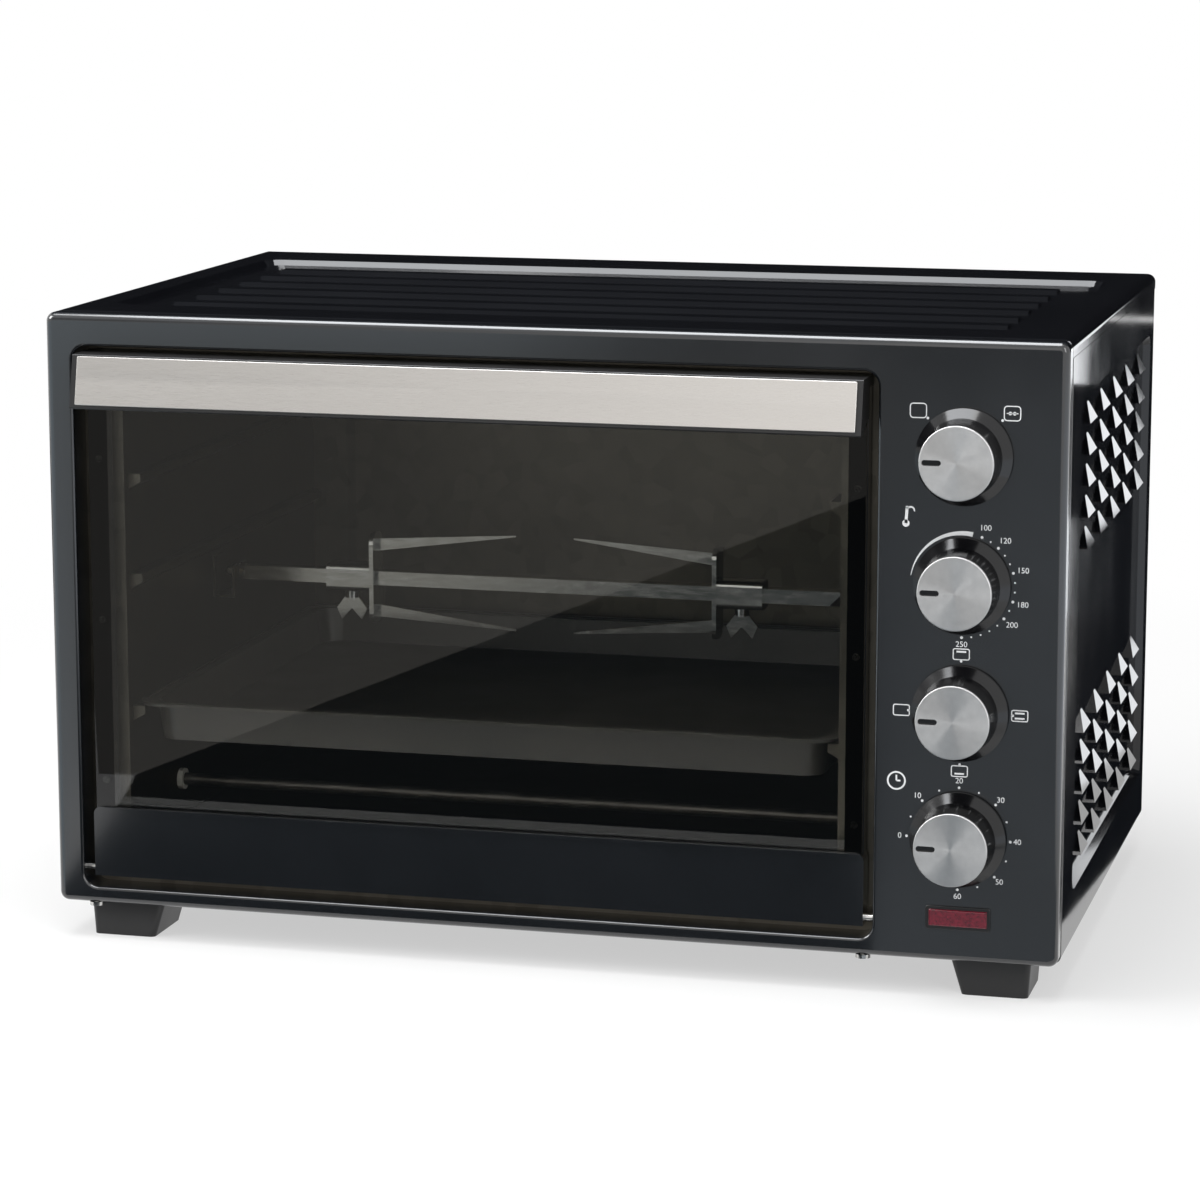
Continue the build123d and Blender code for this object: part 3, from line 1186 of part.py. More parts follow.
with BuildPart() as thermostat:
    with BuildSketch(facing(FASCIA_SHEET)):
        with Locations((KNOB_X, up(KNOB_UPS[1]))):
            Circle(THERMOSTAT_D / 2)
    extrude(amount=-THERMOSTAT_T)
    with BuildSketch(facing(FASCIA_SHEET)):
        with Locations((KNOB_X, up(KNOB_UPS[1]))):
            RectangleRounded(THERMOSTAT_D / 2, THERMOSTAT_D + 2 * BLADE_W, FOOT_R)
    extrude(amount=-THERMOSTAT_T / 2)
    extrude(blades(KNOB_UPS[1], FASCIA_SHEET + THERMOSTAT_T, 2, 1), amount=-BLADE_L)
    extrude(shaft_hole(KNOB_UPS[1]), amount=-SHAFT_IN, mode=Mode.SUBTRACT)
finish(thermostat, "thermostat")

with BuildPart() as heat_selector:
    with BuildSketch(facing(FASCIA_SHEET)):
        with Locations((KNOB_X, up(KNOB_UPS[2]))):
            RegularPolygon(
                SELECTOR_W / 2,
                SELECTOR_SIDES,
                major_radius=False,
                rotation=180 / SELECTOR_SIDES,
            )
    extrude(amount=-SELECTOR_D)
    extrude(blades(KNOB_UPS[2], FASCIA_SHEET + SELECTOR_D, 3, 2), amount=-BLADE_L)
    extrude(shaft_hole(KNOB_UPS[2]), amount=-SHAFT_IN, mode=Mode.SUBTRACT)
finish(heat_selector, "heat_selector")

with BuildPart() as timer:
    with BuildSketch(facing(FASCIA_SHEET)):
        with Locations((KNOB_X, up(KNOB_UPS[3]))):
            RectangleRounded(TIMER_W, TIMER_H, FOOT_R)
    extrude(amount=-TIMER_D)
    with BuildSketch(facing(FASCIA_SHEET + TIMER_D)):
        with Locations((KNOB_X, up(KNOB_UPS[3]))):
            Circle(BELL_D / 2)
    extrude(amount=-BELL_T)
    fillet(timer.faces().sort_by(Axis.Y)[-1].edges(), BELL_T / 2)
    extrude(shaft_hole(KNOB_UPS[3]), amount=-SHAFT_IN, mode=Mode.SUBTRACT)
finish(timer, "timer")

# Indicator: a bezel through the fascia and a red lens in it
with BuildPart() as indicator_bezel:
    with BuildSketch(facing(0)):
        with Locations((LENS_X, up(LENS_UP))):
            RectangleRounded(LENS_W + 2 * BEZEL_RIM, LENS_H + 2 * BEZEL_RIM, BEZEL_RIM)
    extrude(amount=BEZEL_PROUD)
    fillet(indicator_bezel.faces().sort_by(Axis.Y)[0].edges(), BEZEL_PROUD / 2)
    with BuildSketch(facing(0)):
        with Locations((LENS_X, up(LENS_UP))):
            Rectangle(LENS_W + 2 * BEZEL_SLEEVE, LENS_H + 2 * BEZEL_SLEEVE)
    extrude(amount=-BEZEL_D)
    with BuildSketch(facing(-BEZEL_PROUD)):
        with Locations((LENS_X, up(LENS_UP))):
            Rectangle(LENS_W, LENS_H)
    extrude(amount=-BEZEL_PROUD - BEZEL_D + SHEET, mode=Mode.SUBTRACT)
finish(indicator_bezel, "indicator_bezel")

with BuildPart() as indicator_lens:
    with BuildSketch(facing(LENS_D)):
        with Locations((LENS_X, up(LENS_UP))):
            Rectangle(LENS_W, LENS_H)
    extrude(amount=LENS_D + LENS_PROUD)
    fillet(indicator_lens.faces().sort_by(Axis.Y)[0].edges(), LENS_PROUD / 2)
finish(indicator_lens, "indicator_lens")

# Feet, tapered towards the inside, with a screw pocket from below
for foot_end, foot_y in zip(("front", "rear"), foot_ys):
    for foot_side, foot_x in zip(("right", "left"), foot_xs):
        outward = 1 if foot_x > 0 else -1
        outer_top = outward * FOOT_OUT
        with BuildPart() as foot:
            with BuildSketch(Plane.XZ.offset(-foot_y - FOOT_D / 2)):
                with BuildLine():
                    Polyline(
                        (outer_top, BASE_Z + SHEET),
                        (outer_top - outward * FOOT_DRAFT, 0),
                        (outer_top - outward * (FOOT_DRAFT + FOOT_BOTTOM_W), 0),
                        (outer_top - outward * FOOT_TOP_W, BASE_Z + SHEET),
                        close=True,
                    )
                make_face()
            extrude(amount=FOOT_D)
            fillet(foot.edges().filter_by(Plane.XY, reverse=True), FOOT_R)
            with BuildSketch(Plane.XY):
                with Locations((foot_x, foot_y)):
                    Circle(FOOT_POCKET_D / 2)
            extrude(amount=FOOT_POCKET_H, mode=Mode.SUBTRACT)
            with BuildSketch(Plane.XY):
                with Locations((foot_x, foot_y)):
                    Circle(SCREW_D / 2)
            extrude(amount=BASE_Z + SHEET, mode=Mode.SUBTRACT)
        finish(foot, f"{foot_end}_{foot_side}_foot")

# Screws: one in each foot, six in the rear cover and two under the hinge brackets
with BuildPart() as case_screws:
    with BuildSketch(Plane.XY.offset(FOOT_POCKET_H)):
        with Locations(foot_places):
            Circle(SCREW_HEAD_D / 2)
    extrude(amount=-SCREW_HEAD_H)
    with BuildSketch(Plane.XY.offset(FOOT_POCKET_H)):
        with Locations(foot_places):
            Circle(SCREW_D / 2)
    extrude(amount=BASE_Z + 2 * SHEET - FOOT_POCKET_H)
    with BuildSketch(Plane.XZ.offset(-REAR_Y)):
        with Locations(rear_screws):
            Circle(SCREW_HEAD_D / 2)
    extrude(amount=-SCREW_HEAD_H)
    with BuildSketch(Plane.XZ.offset(-REAR_Y)):
        with Locations(rear_screws):
            Circle(SCREW_D / 2)
    extrude(amount=SHEET)
    with BuildSketch(Plane.XY.offset(BASE_Z)):
        with Locations([(x, depth(FASCIA_DEPTH / 2)) for x in (DOOR_LEFT, DOOR_RIGHT)]):
            Circle(SCREW_HEAD_D / 2)
    extrude(amount=-SCREW_HEAD_H)
    with BuildSketch(Plane.XY.offset(BASE_Z)):
        with Locations([(x, depth(FASCIA_DEPTH / 2)) for x in (DOOR_LEFT, DOOR_RIGHT)]):
            Circle(SCREW_D / 2)
    extrude(amount=FASCIA_SHEET)
finish(case_screws, "case_screws")

# Grommet of the cord's inlet
with BuildPart() as cord_grommet:
    with BuildSketch(Plane.XZ.offset(-REAR_Y)):
        with Locations((GROMMET_X, up(GROMMET_UP))):
            Circle(GROMMET_FLANGE_D / 2)
    extrude(amount=-SCREW_HEAD_H)
    fillet(cord_grommet.faces().sort_by(Axis.Y)[-1].edges(), SCREW_HEAD_H / 2)
    with BuildSketch(Plane.XZ.offset(-REAR_Y)):
        with Locations((GROMMET_X, up(GROMMET_UP))):
            Circle(GROMMET_D / 2)
    extrude(amount=GROMMET_NECK)
    with BuildSketch(Plane.XZ.offset(-REAR_Y - SCREW_HEAD_H)):
        with Locations((GROMMET_X, up(GROMMET_UP))):
            Circle(GROMMET_BORE_D / 2)
    extrude(amount=SCREW_HEAD_H + GROMMET_NECK, mode=Mode.SUBTRACT)
finish(cord_grommet, "cord_grommet")
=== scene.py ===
import json
import math

import bmesh
import bpy
from mathutils import Matrix, Vector


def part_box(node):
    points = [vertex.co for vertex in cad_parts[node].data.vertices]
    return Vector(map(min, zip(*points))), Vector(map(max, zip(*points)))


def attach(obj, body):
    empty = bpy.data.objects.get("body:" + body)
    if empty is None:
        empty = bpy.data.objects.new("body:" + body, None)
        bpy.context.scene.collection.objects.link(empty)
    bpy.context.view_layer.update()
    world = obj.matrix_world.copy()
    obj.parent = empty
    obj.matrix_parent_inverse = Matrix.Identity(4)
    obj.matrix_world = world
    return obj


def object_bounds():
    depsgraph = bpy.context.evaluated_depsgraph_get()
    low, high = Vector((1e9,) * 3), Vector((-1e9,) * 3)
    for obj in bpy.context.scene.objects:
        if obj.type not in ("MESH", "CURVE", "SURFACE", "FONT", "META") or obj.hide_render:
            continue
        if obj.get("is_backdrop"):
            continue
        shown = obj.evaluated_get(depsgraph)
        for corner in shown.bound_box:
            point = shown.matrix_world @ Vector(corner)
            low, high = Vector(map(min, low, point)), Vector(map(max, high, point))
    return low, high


# Looks of the rotisserie oven. Metres, +Z up, front towards -Y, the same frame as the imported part.

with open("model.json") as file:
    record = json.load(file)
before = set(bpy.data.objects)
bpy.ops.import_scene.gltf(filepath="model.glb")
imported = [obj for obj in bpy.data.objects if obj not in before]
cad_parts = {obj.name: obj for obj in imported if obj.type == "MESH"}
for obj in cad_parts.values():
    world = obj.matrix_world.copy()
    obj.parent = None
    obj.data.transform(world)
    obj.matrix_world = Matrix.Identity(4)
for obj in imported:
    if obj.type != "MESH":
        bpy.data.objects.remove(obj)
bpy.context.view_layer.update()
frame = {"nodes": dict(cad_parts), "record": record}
nodes = frame["nodes"]
scene = bpy.context.scene

MM = 0.001

# Camera at the photograph's angle
CAMERA_PLACE = Vector((0.5491, -2.1531, 0.5817))
CAMERA_AIM = Vector((-0.0065, -0.0187, 0.1738))
CAMERA_LENS = 120.1
CAMERA_SENSOR = 36.0
CAMERA_REACH = 50.0

# All printing, in millimetres
PRINT_T = 0.06
SCALE_R = 27.0
DOT_R = 0.55
DOT_SIDES = 16
LABEL_H = 3.0
FONT_SCALE = 1.38
ICON_W = 8.3
ICON_H = 7.3
ICON_R = 1.6
ICON_LINE = 0.55
ARC_STEPS = 48
HOOK_STEPS = 12
CORNER_STEPS = 8

# Function printing: millimetres and clockwise degrees, with dots as shares of DOT_R
FUNCTION_ANGLE = 45
FUNCTION_DOT = 1.3
FUNCTION_ICON_OUT = 24.0
FUNCTION_ICON_UP = 22.8
SPIT_HALF_SHARE = 0.36
SPIT_LINE = 0.5
SPIT_DOT_OUT = 1.1
SPIT_DOT_R = 0.95

# Temperature printing
TEMPERATURE_LABELS = {0: "100", 2: "120", 5: "150", 8: "180", 10: "200", 15: "250"}
TEMPERATURE_LAST = 15
TEMPERATURE_START = 20.8
TEMPERATURE_END = 180
TEMPERATURE_DOT = 0.85
TEMPERATURE_LABEL_DOT = 1.35
TEMPERATURE_LABEL_GAP = 5.2
TEMPERATURE_LAST_GAP = 3.6
WEDGE_START = -81
WEDGE_END = 10.5
WEDGE_THIN = 0.35
WEDGE_THICK = 2.4
BULB_AT = (-29.6, 31.0)
BULB_R = 1.9
STEM_TOP = (0.5, 8.2)
STEM_W = 1.5
STEM_TOP_R = 0.75
HOOK_AT = (2.4, 6.6)
HOOK_R = 1.9
HOOK_START = -60
HOOK_END = 100
HOOK_THICK = 1.0
HOOK_THIN = 0.7

# Heat selector printing: the heaters that are on at each angle, 1 for the upper and -1 for the lower
HEAT_MARKS = {0: (1,), 90: (-1, 1), 180: (-1,), 270: ()}
HEAT_DOT = 1.25
HEAT_ICON_GAP = 3.6
HEAT_ICON_H = 5.6
HEAT_ICON_R = 0.9
HEAT_BAR_RISE_SHARE = 0.24
HEAT_BAR_HALF_SHARE = 0.3
HEAT_BAR_LINE = 0.9

# Timer printing: a number at every second dot
TIMER_MINUTES = (0, 10, 20, 30, 40, 50, 60)
TIMER_START = 270
TIMER_STEP = 22.5
TIMER_DOT = 0.95
TIMER_LABEL_DOT = 1.3
TIMER_LABEL_GAP = 3.6
CLOCK_AT = (-32.7, 29.0)
CLOCK_R = 4.5
CLOCK_LINE = 0.9
CLOCK_HANDS = ((0, 3.0), (2.1, 0))

# The range that a noise factor mostly keeps to
NOISE_LOW = 0.3
NOISE_HIGH = 0.7


# Node helpers


def material(name):
    """A new material with one Principled shader: (material, node tree, shader)."""
    made = bpy.data.materials.new(name)
    made.use_nodes = True
    tree = made.node_tree
    tree.nodes.clear()
    out = tree.nodes.new("ShaderNodeOutputMaterial")
    shader = tree.nodes.new("ShaderNodeBsdfPrincipled")
    tree.links.new(shader.outputs["BSDF"], out.inputs["Surface"])
    return made, tree, shader


def surface(tree, socket):
    """Let the material's output show another shader."""
    out = next(node for node in tree.nodes if node.type == "OUTPUT_MATERIAL")
    tree.links.new(socket, out.inputs["Surface"])


def blend(tree, factor, first, second):
    """Show one shader where the factor is 0 and another where it is 1."""
    mix = tree.nodes.new("ShaderNodeMixShader")
    tree.links.new(factor, mix.inputs["Fac"])
    tree.links.new(first, mix.inputs[1])
    tree.links.new(second, mix.inputs[2])
    surface(tree, mix.outputs["Shader"])


def place(tree, stretch=(1, 1, 1)):
    """Object coordinates in metres, scaled by stretch."""
    coords = tree.nodes.new("ShaderNodeTexCoord")
    mapping = tree.nodes.new("ShaderNodeMapping")
    mapping.inputs["Scale"].default_value = stretch
    tree.links.new(coords.outputs["Object"], mapping.inputs["Vector"])
    return mapping.outputs["Vector"]


def noise(tree, where, scale, detail=3.0, rough=0.5):
    """A noise texture's factor; scale is per metre."""
    node = tree.nodes.new("ShaderNodeTexNoise")
    node.inputs["Scale"].default_value = scale
    node.inputs["Detail"].default_value = detail
    node.inputs["Roughness"].default_value = rough
    tree.links.new(where, node.inputs["Vector"])
    return node.outputs["Fac"]


def compute(tree, operation, *terms):
    """The result of a maths node over sockets and plain numbers."""
    node = tree.nodes.new("ShaderNodeMath")
    node.operation = operation
    for socket, term in zip(node.inputs, terms):
        if isinstance(term, float):
            socket.default_value = term
        else:
            tree.links.new(term, socket)
    return node.outputs["Value"]


def spread(tree, factor, low, high, start=NOISE_LOW, end=NOISE_HIGH):
    """A factor from start to end, mapped to low to high."""
    node = tree.nodes.new("ShaderNodeMapRange")
    node.inputs["From Min"].default_value = start
    node.inputs["From Max"].default_value = end
    node.inputs["To Min"].default_value = low
    node.inputs["To Max"].default_value = high
    tree.links.new(factor, node.inputs["Value"])
    return node.outputs["Result"]


def ramp(tree, factor, dark, light, start=NOISE_LOW, end=NOISE_HIGH):
    """A factor from start to end, mapped to a dark to a light colour."""
    node = tree.nodes.new("ShaderNodeValToRGB")
    stops = ((start, dark), (end, light))
    for element, (position, colour) in zip(node.color_ramp.elements, stops):
        element.position = position
        element.color = (*colour, 1)
    tree.links.new(factor, node.inputs["Fac"])
    return node.outputs["Color"]


def bump(tree, shader, height, distance):
    """Bump from a height factor; distance is in metres."""
    node = tree.nodes.new("ShaderNodeBump")
    node.inputs["Distance"].default_value = distance
    node.inputs["Strength"].default_value = 1.0
    tree.links.new(height, node.inputs["Height"])
    tree.links.new(node.outputs["Normal"], shader.inputs["Normal"])


# Kinds of material


def coating(name, dark, light, roughness, grain, depth, coat=0.0, coat_roughness=0.1):
    """Paint, enamel or plastic: two near colours, a rough range, a grain (per metre) and its depth (m)."""
    made, tree, shader = material(name)
    where = place(tree)
    broad = noise(tree, where, scale=14.0, detail=4.0)
    fine = noise(tree, where, scale=grain, detail=2.0)
    tree.links.new(ramp(tree, broad, dark, light), shader.inputs["Base Color"])
    tree.links.new(spread(tree, broad, *roughness), shader.inputs["Roughness"])
    shader.inputs["Coat Weight"].default_value = coat
    shader.inputs["Coat Roughness"].default_value = coat_roughness
    bump(tree, shader, fine, depth)
    return made


def metal(name, dark, light, roughness, stretch, scale, depth, turn=None, anisotropy=0.0):
    """Bare metal with a lay: noise stretched along the brushing; turn is the axis of circular brushing."""
    made, tree, shader = material(name)
    where = place(tree, stretch)
    lay = noise(tree, where, scale, detail=4.0, rough=0.6)
    tree.links.new(ramp(tree, lay, dark, light, start=0.25, end=0.75), shader.inputs["Base Color"])
    tree.links.new(spread(tree, lay, *roughness), shader.inputs["Roughness"])
    shader.inputs["Metallic"].default_value = 1.0
    shader.inputs["Anisotropic"].default_value = anisotropy
    if turn:
        tangent = tree.nodes.new("ShaderNodeTangent")
        tangent.direction_type = "RADIAL"
        tangent.axis = turn
        tree.links.new(tangent.outputs["Tangent"], shader.inputs["Tangent"])
    bump(tree, shader, lay, depth)
    return made


def galvanised(name, dark, light, roughness, flake):
    """Zinc-coated sheet with spangles of the given size in metres and a faint haze."""
    made, tree, shader = material(name)
    where = place(tree)
    cells = tree.nodes.new("ShaderNodeTexVoronoi")
    cells.inputs["Scale"].default_value = 1 / flake
    tree.links.new(where, cells.inputs["Vector"])
    grey = tree.nodes.new("ShaderNodeRGBToBW")
    tree.links.new(cells.outputs["Color"], grey.inputs["Color"])
    haze = noise(tree, where, scale=9.0, detail=4.0)
    spangle_share, brightest = 0.35, 0.9
    tone = compute(tree, "MULTIPLY_ADD", grey.outputs["Val"], spangle_share, haze)
    tree.links.new(ramp(tree, tone, dark, light, end=brightest), shader.inputs["Base Color"])
    tree.links.new(spread(tree, tone, *roughness, end=brightest), shader.inputs["Roughness"])
    shader.inputs["Metallic"].default_value = 1.0
    shader.inputs["Specular Tint"].default_value = (0.35, 0.33, 0.3, 1)
    bump(tree, shader, haze, distance=4e-4)
    return made


def clear_glass():
    """Tempered glass with a faint tint and haze; lamps shine through it."""
    made, tree, shader = material("tempered_glass")
    haze = noise(tree, place(tree), scale=6.0, detail=5.0)
    tint = ramp(tree, haze, dark=(0.84, 0.85, 0.83), light=(0.89, 0.89, 0.87))
    tree.links.new(tint, shader.inputs["Base Color"])
    tree.links.new(spread(tree, haze, low=0.0, high=0.012), shader.inputs["Roughness"])
    shader.inputs["Transmission Weight"].default_value = 1.0
    shader.inputs["IOR"].default_value = 1.5
    clear = tree.nodes.new("ShaderNodeBsdfTransparent")
    clear.inputs["Color"].default_value = (0.6, 0.59, 0.56, 1)
    rays = tree.nodes.new("ShaderNodeLightPath")
    blend(tree, rays.outputs["Is Shadow Ray"], shader.outputs["BSDF"], clear.outputs["BSDF"])
    return made


def red_plastic():
    """Translucent red lens, ribbed inside, with a faint even glow of its lamp."""
    made, tree, shader = material("red_lens_plastic")
    ribs = noise(tree, place(tree), scale=700.0, detail=1.0)
    red = ramp(tree, ribs, dark=(0.05, 0.002, 0.008), light=(0.13, 0.004, 0.016))
    tree.links.new(red, shader.inputs["Base Color"])
    tree.links.new(spread(tree, ribs, low=0.08, high=0.18), shader.inputs["Roughness"])
    shader.inputs["Coat Weight"].default_value = 0.6
    shader.inputs["Emission Color"].default_value = (0.5, 0.01, 0.03, 1)
    shader.inputs["Emission Strength"].default_value = 0.06
    bump(tree, shader, ribs, distance=1e-4)
    return made


# Materials of the part's own nodes

gloss_black = coating(
    "enamel_black", (0.0026, 0.0028, 0.0038), (0.004, 0.0043, 0.0056),
    roughness=(0.045, 0.085), grain=900.0, depth=3e-6)
fascia_black = coating(
    "enamel_fascia", (0.0052, 0.0062, 0.0078), (0.0075, 0.0088, 0.011),
    roughness=(0.12, 0.19), grain=900.0, depth=1e-5, coat=1.0, coat_roughness=0.12)
satin_plastic = coating(
    "plastic_satin_black", (0.006, 0.006, 0.0065), (0.009, 0.009, 0.0095),
    roughness=(0.3, 0.42), grain=1600.0, depth=2e-5)
gloss_plastic = coating(
    "plastic_gloss_black", (0.0035, 0.0035, 0.004), (0.006, 0.006, 0.007),
    roughness=(0.12, 0.2), grain=800.0, depth=1e-5)
rubber = coating(
    "rubber_black", (0.012, 0.012, 0.012), (0.018, 0.018, 0.018),
    roughness=(0.65, 0.8), grain=1500.0, depth=6e-5)
tray_enamel = coating(
    "enamel_tray", (0.022, 0.02, 0.017), (0.038, 0.035, 0.03),
    roughness=(0.3, 0.42), grain=1200.0, depth=2e-5)
ceramic = coating(
    "ceramic_white", (0.62, 0.6, 0.55), (0.74, 0.72, 0.68),
    roughness=(0.25, 0.4), grain=1200.0, depth=3e-5)
thermoset = coating(
    "plastic_buff", (0.3, 0.26, 0.19), (0.38, 0.33, 0.25),
    roughness=(0.45, 0.6), grain=900.0, depth=3e-5)
brushed = metal(
    "steel_brushed", (0.55, 0.53, 0.505), (0.6, 0.58, 0.555),
    roughness=(0.26, 0.31), stretch=(0.01, 1, 1), scale=9000.0, depth=2e-7, anisotropy=0.3)
cap_metal = metal(
    "steel_turned", (0.56, 0.555, 0.55), (0.61, 0.605, 0.6),
    roughness=(0.36, 0.41), stretch=(1, 1, 1), scale=300.0, depth=2e-7, turn="Y", anisotropy=0.75)
bright_steel = metal(
    "steel_bright", (0.5, 0.495, 0.48), (0.64, 0.635, 0.62),
    roughness=(0.1, 0.22), stretch=(0.2, 1, 1), scale=400.0, depth=4e-6)
zinc = metal(
    "steel_zinc", (0.45, 0.45, 0.44), (0.6, 0.6, 0.59),
    roughness=(0.28, 0.42), stretch=(1, 1, 1), scale=250.0, depth=1e-5)
sheath = metal(
    "steel_heat_darkened", (0.1, 0.09, 0.08), (0.22, 0.205, 0.19),
    roughness=(0.35, 0.55), stretch=(0.3, 1, 1), scale=160.0, depth=3e-5)
# The cavity's steel is far darker than bare zinc: partly its own dull warm grey, partly painted shade of the
# closed cavity behind the glass.
cavity = galvanised(
    "steel_galvanised_and_painted_shade", (0.06, 0.054, 0.044), (0.115, 0.105, 0.086),
    roughness=(0.3, 0.42), flake=0.011)
glass = clear_glass()
red_lens = red_plastic()

SLOT_MATERIALS = {
    "black_enamel": gloss_black,
    "black_plastic": satin_plastic,
    "brushed_steel": brushed,
    "cavity_steel": cavity,
    "tray_enamel": tray_enamel,
    "bright_steel": bright_steel,
    "zinc_steel": zinc,
    "heater_sheath": sheath,
    "white_ceramic": ceramic,
    "switch_plastic": thermoset,
    "clear_glass": glass,
    "red_lens": red_lens,
    "black_rubber": rubber,
}
OWN_MATERIALS = {"front_fascia": fascia_black, "door_lower_rail": fascia_black}
for subpart in frame["record"]["subparts"]:
    name = subpart["node"]
    chosen = OWN_MATERIALS.get(name, SLOT_MATERIALS[subpart["material_slot"]])
    if name.endswith("_knob_cap"):
        chosen = cap_metal
    elif name.endswith("_knob"):
        chosen = gloss_plastic
    mesh = nodes[name].data
    mesh.materials.clear()
    mesh.materials.append(chosen)


# Printing on the control panel: closed flat pieces a little proud of the fascia's face

fascia_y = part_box("front_fascia")[0][1]
ink_white = coating(
    "ink_white", (0.72, 0.73, 0.74), (0.86, 0.87, 0.88),
    roughness=(0.4, 0.55), grain=2000.0, depth=1e-5)


def flat_print(name, colour):
    """An empty printed piece: (object, mesh builder)."""
    mesh = bpy.data.meshes.new(name)
    obj = bpy.data.objects.new(name, mesh)
    scene.collection.objects.link(obj)
    mesh.materials.append(colour)
    return obj, bmesh.new()


def settle(obj, builder, body):
    """Finish a printed piece and let it ride."""
    bmesh.ops.recalc_face_normals(builder, faces=builder.faces)
    builder.to_mesh(obj.data)
    builder.free()
    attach(obj, body)


def moved(point, right, up):
    """The point so far to the right of another and above it."""
    return (point[0] + right, point[1] + up)


def clockwise(centre, radius, angle):
    """The point at a clockwise angle (degrees) from twelve o'clock."""
    turn = math.radians(angle)
    return moved(centre, radius * math.sin(turn), radius * math.cos(turn))


def ink(builder, points):
    """One convex patch of ink: points are (x, z) in millimetres on the fascia's face."""
    front = fascia_y - PRINT_T * MM
    outer = [builder.verts.new((x * MM, front, z * MM)) for x, z in points]
    inner = [builder.verts.new((x * MM, fascia_y, z * MM)) for x, z in points]
    builder.faces.new(outer)
    builder.faces.new(inner[::-1])
    for i in range(len(points)):
        j = (i + 1) % len(points)
        builder.faces.new((outer[i], inner[i], inner[j], outer[j]))


def dot(builder, centre, radius):
    """A round dot."""
    ink(builder, [clockwise(centre, radius, 360 * i / DOT_SIDES) for i in range(DOT_SIDES)])


def stroke(builder, start, end, width):
    """A straight bar between two points."""
    run = Vector((end[0] - start[0], end[1] - start[1]))
    side = Vector((-run.y, run.x)).normalized() * width / 2
    a, b = Vector(start), Vector(end)
    ink(builder, [tuple(a + side), tuple(b + side), tuple(b - side), tuple(a - side)])


def swept(builder, centre, radius, start, end, thick_start, thick_end, steps=ARC_STEPS):
    """An arc from one clockwise angle to another, whose thickness changes along it."""
    for i in range(steps):
        t0, t1 = i / steps, (i + 1) / steps
        a0 = start + (end - start) * t0
        a1 = start + (end - start) * t1
        h0 = (thick_start + (thick_end - thick_start) * t0) / 2
        h1 = (thick_start + (thick_end - thick_start) * t1) / 2
        ink(builder, [clockwise(centre, radius - h0, a0), clockwise(centre, radius + h0, a0),
                      clockwise(centre, radius + h1, a1), clockwise(centre, radius - h1, a1)])


def label(builder, words, centre):
    """Digits from the built-in font, centred on a point."""
    curve = bpy.data.curves.new("digits", "FONT")
    curve.body = words
    curve.size = LABEL_H * MM * FONT_SCALE
    curve.align_x = "CENTER"
    curve.align_y = "CENTER"
    curve.extrude = PRINT_T * MM / 2
    carrier = bpy.data.objects.new("digits", curve)
    scene.collection.objects.link(carrier)
    bpy.context.view_layer.update()
    shape = bpy.data.meshes.new_from_object(carrier.evaluated_get(bpy.context.evaluated_depsgraph_get()))
    turn = Matrix.Rotation(math.pi / 2, 4, "X")
    at = Vector((centre[0] * MM, fascia_y - PRINT_T * MM / 2, centre[1] * MM))
    shape.transform(Matrix.Translation(at) @ turn)
    builder.from_mesh(shape)
    bpy.data.meshes.remove(shape)
    bpy.data.objects.remove(carrier)
    bpy.data.curves.remove(curve)


def frame_icon(builder, centre, height=ICON_H, corner=ICON_R):
    """A rounded box outline, the sign for the oven's cavity."""
    x, z = centre
    half_w, half_h = ICON_W / 2, height / 2
    for sx in (-1, 1):
        side = x + sx * half_w
        stroke(builder, (side, z - half_h + corner), (side, z + half_h - corner), ICON_LINE)
        for sz in (-1, 1):
            middle = (x + sx * (half_w - corner), z + sz * (half_h - corner))
            start = {(1, 1): 0, (1, -1): 90, (-1, -1): 180, (-1, 1): 270}[(sx, sz)]
            swept(builder, middle, corner, start, start + 90, ICON_LINE, ICON_LINE, CORNER_STEPS)
    for sz in (-1, 1):
        level = z + sz * half_h
        stroke(builder, (x - half_w + corner, level), (x + half_w - corner, level), ICON_LINE)


def spit_sign(builder, centre):
    """A spit with two dots on it, inside an icon."""
    half = ICON_W * SPIT_HALF_SHARE
    stroke(builder, moved(centre, -half, 0), moved(centre, half, 0), SPIT_LINE)
    for shift in (-SPIT_DOT_OUT, SPIT_DOT_OUT):
        dot(builder, moved(centre, shift, 0), SPIT_DOT_R)


def heat_bars(builder, centre, levels):
    """Bars inside an icon, one for each heater that is on."""
    half = ICON_W * HEAT_BAR_HALF_SHARE
    for level in levels:
        rise = level * HEAT_ICON_H * HEAT_BAR_RISE_SHARE
        stroke(builder, moved(centre, -half, rise), moved(centre, half, rise), HEAT_BAR_LINE)


def thermometer(builder, bulb):
    """A bulb with a leaning stem and a hook beside its top."""
    top = moved(bulb, *STEM_TOP)
    stroke(builder, bulb, top, STEM_W)
    dot(builder, bulb, BULB_R)
    dot(builder, top, STEM_TOP_R)
    hook = moved(bulb, *HOOK_AT)
    swept(builder, hook, HOOK_R, HOOK_START, HOOK_END, HOOK_THICK, HOOK_THIN, HOOK_STEPS)


def clock_face(builder, middle):
    """A ring with two hands."""
    swept(builder, middle, CLOCK_R, 0, 360, CLOCK_LINE, CLOCK_LINE)
    for hand in CLOCK_HANDS:
        stroke(builder, middle, moved(middle, *hand), CLOCK_LINE)


def function_marks(builder, centre):
    """Two dots with the cavity's sign beside each, the right one with a spit."""
    for side in (-1, 1):
        dot(builder, clockwise(centre, SCALE_R, side * FUNCTION_ANGLE), DOT_R * FUNCTION_DOT)
        spot = moved(centre, side * FUNCTION_ICON_OUT, FUNCTION_ICON_UP)
        frame_icon(builder, spot)
        if side > 0:
            spit_sign(builder, spot)


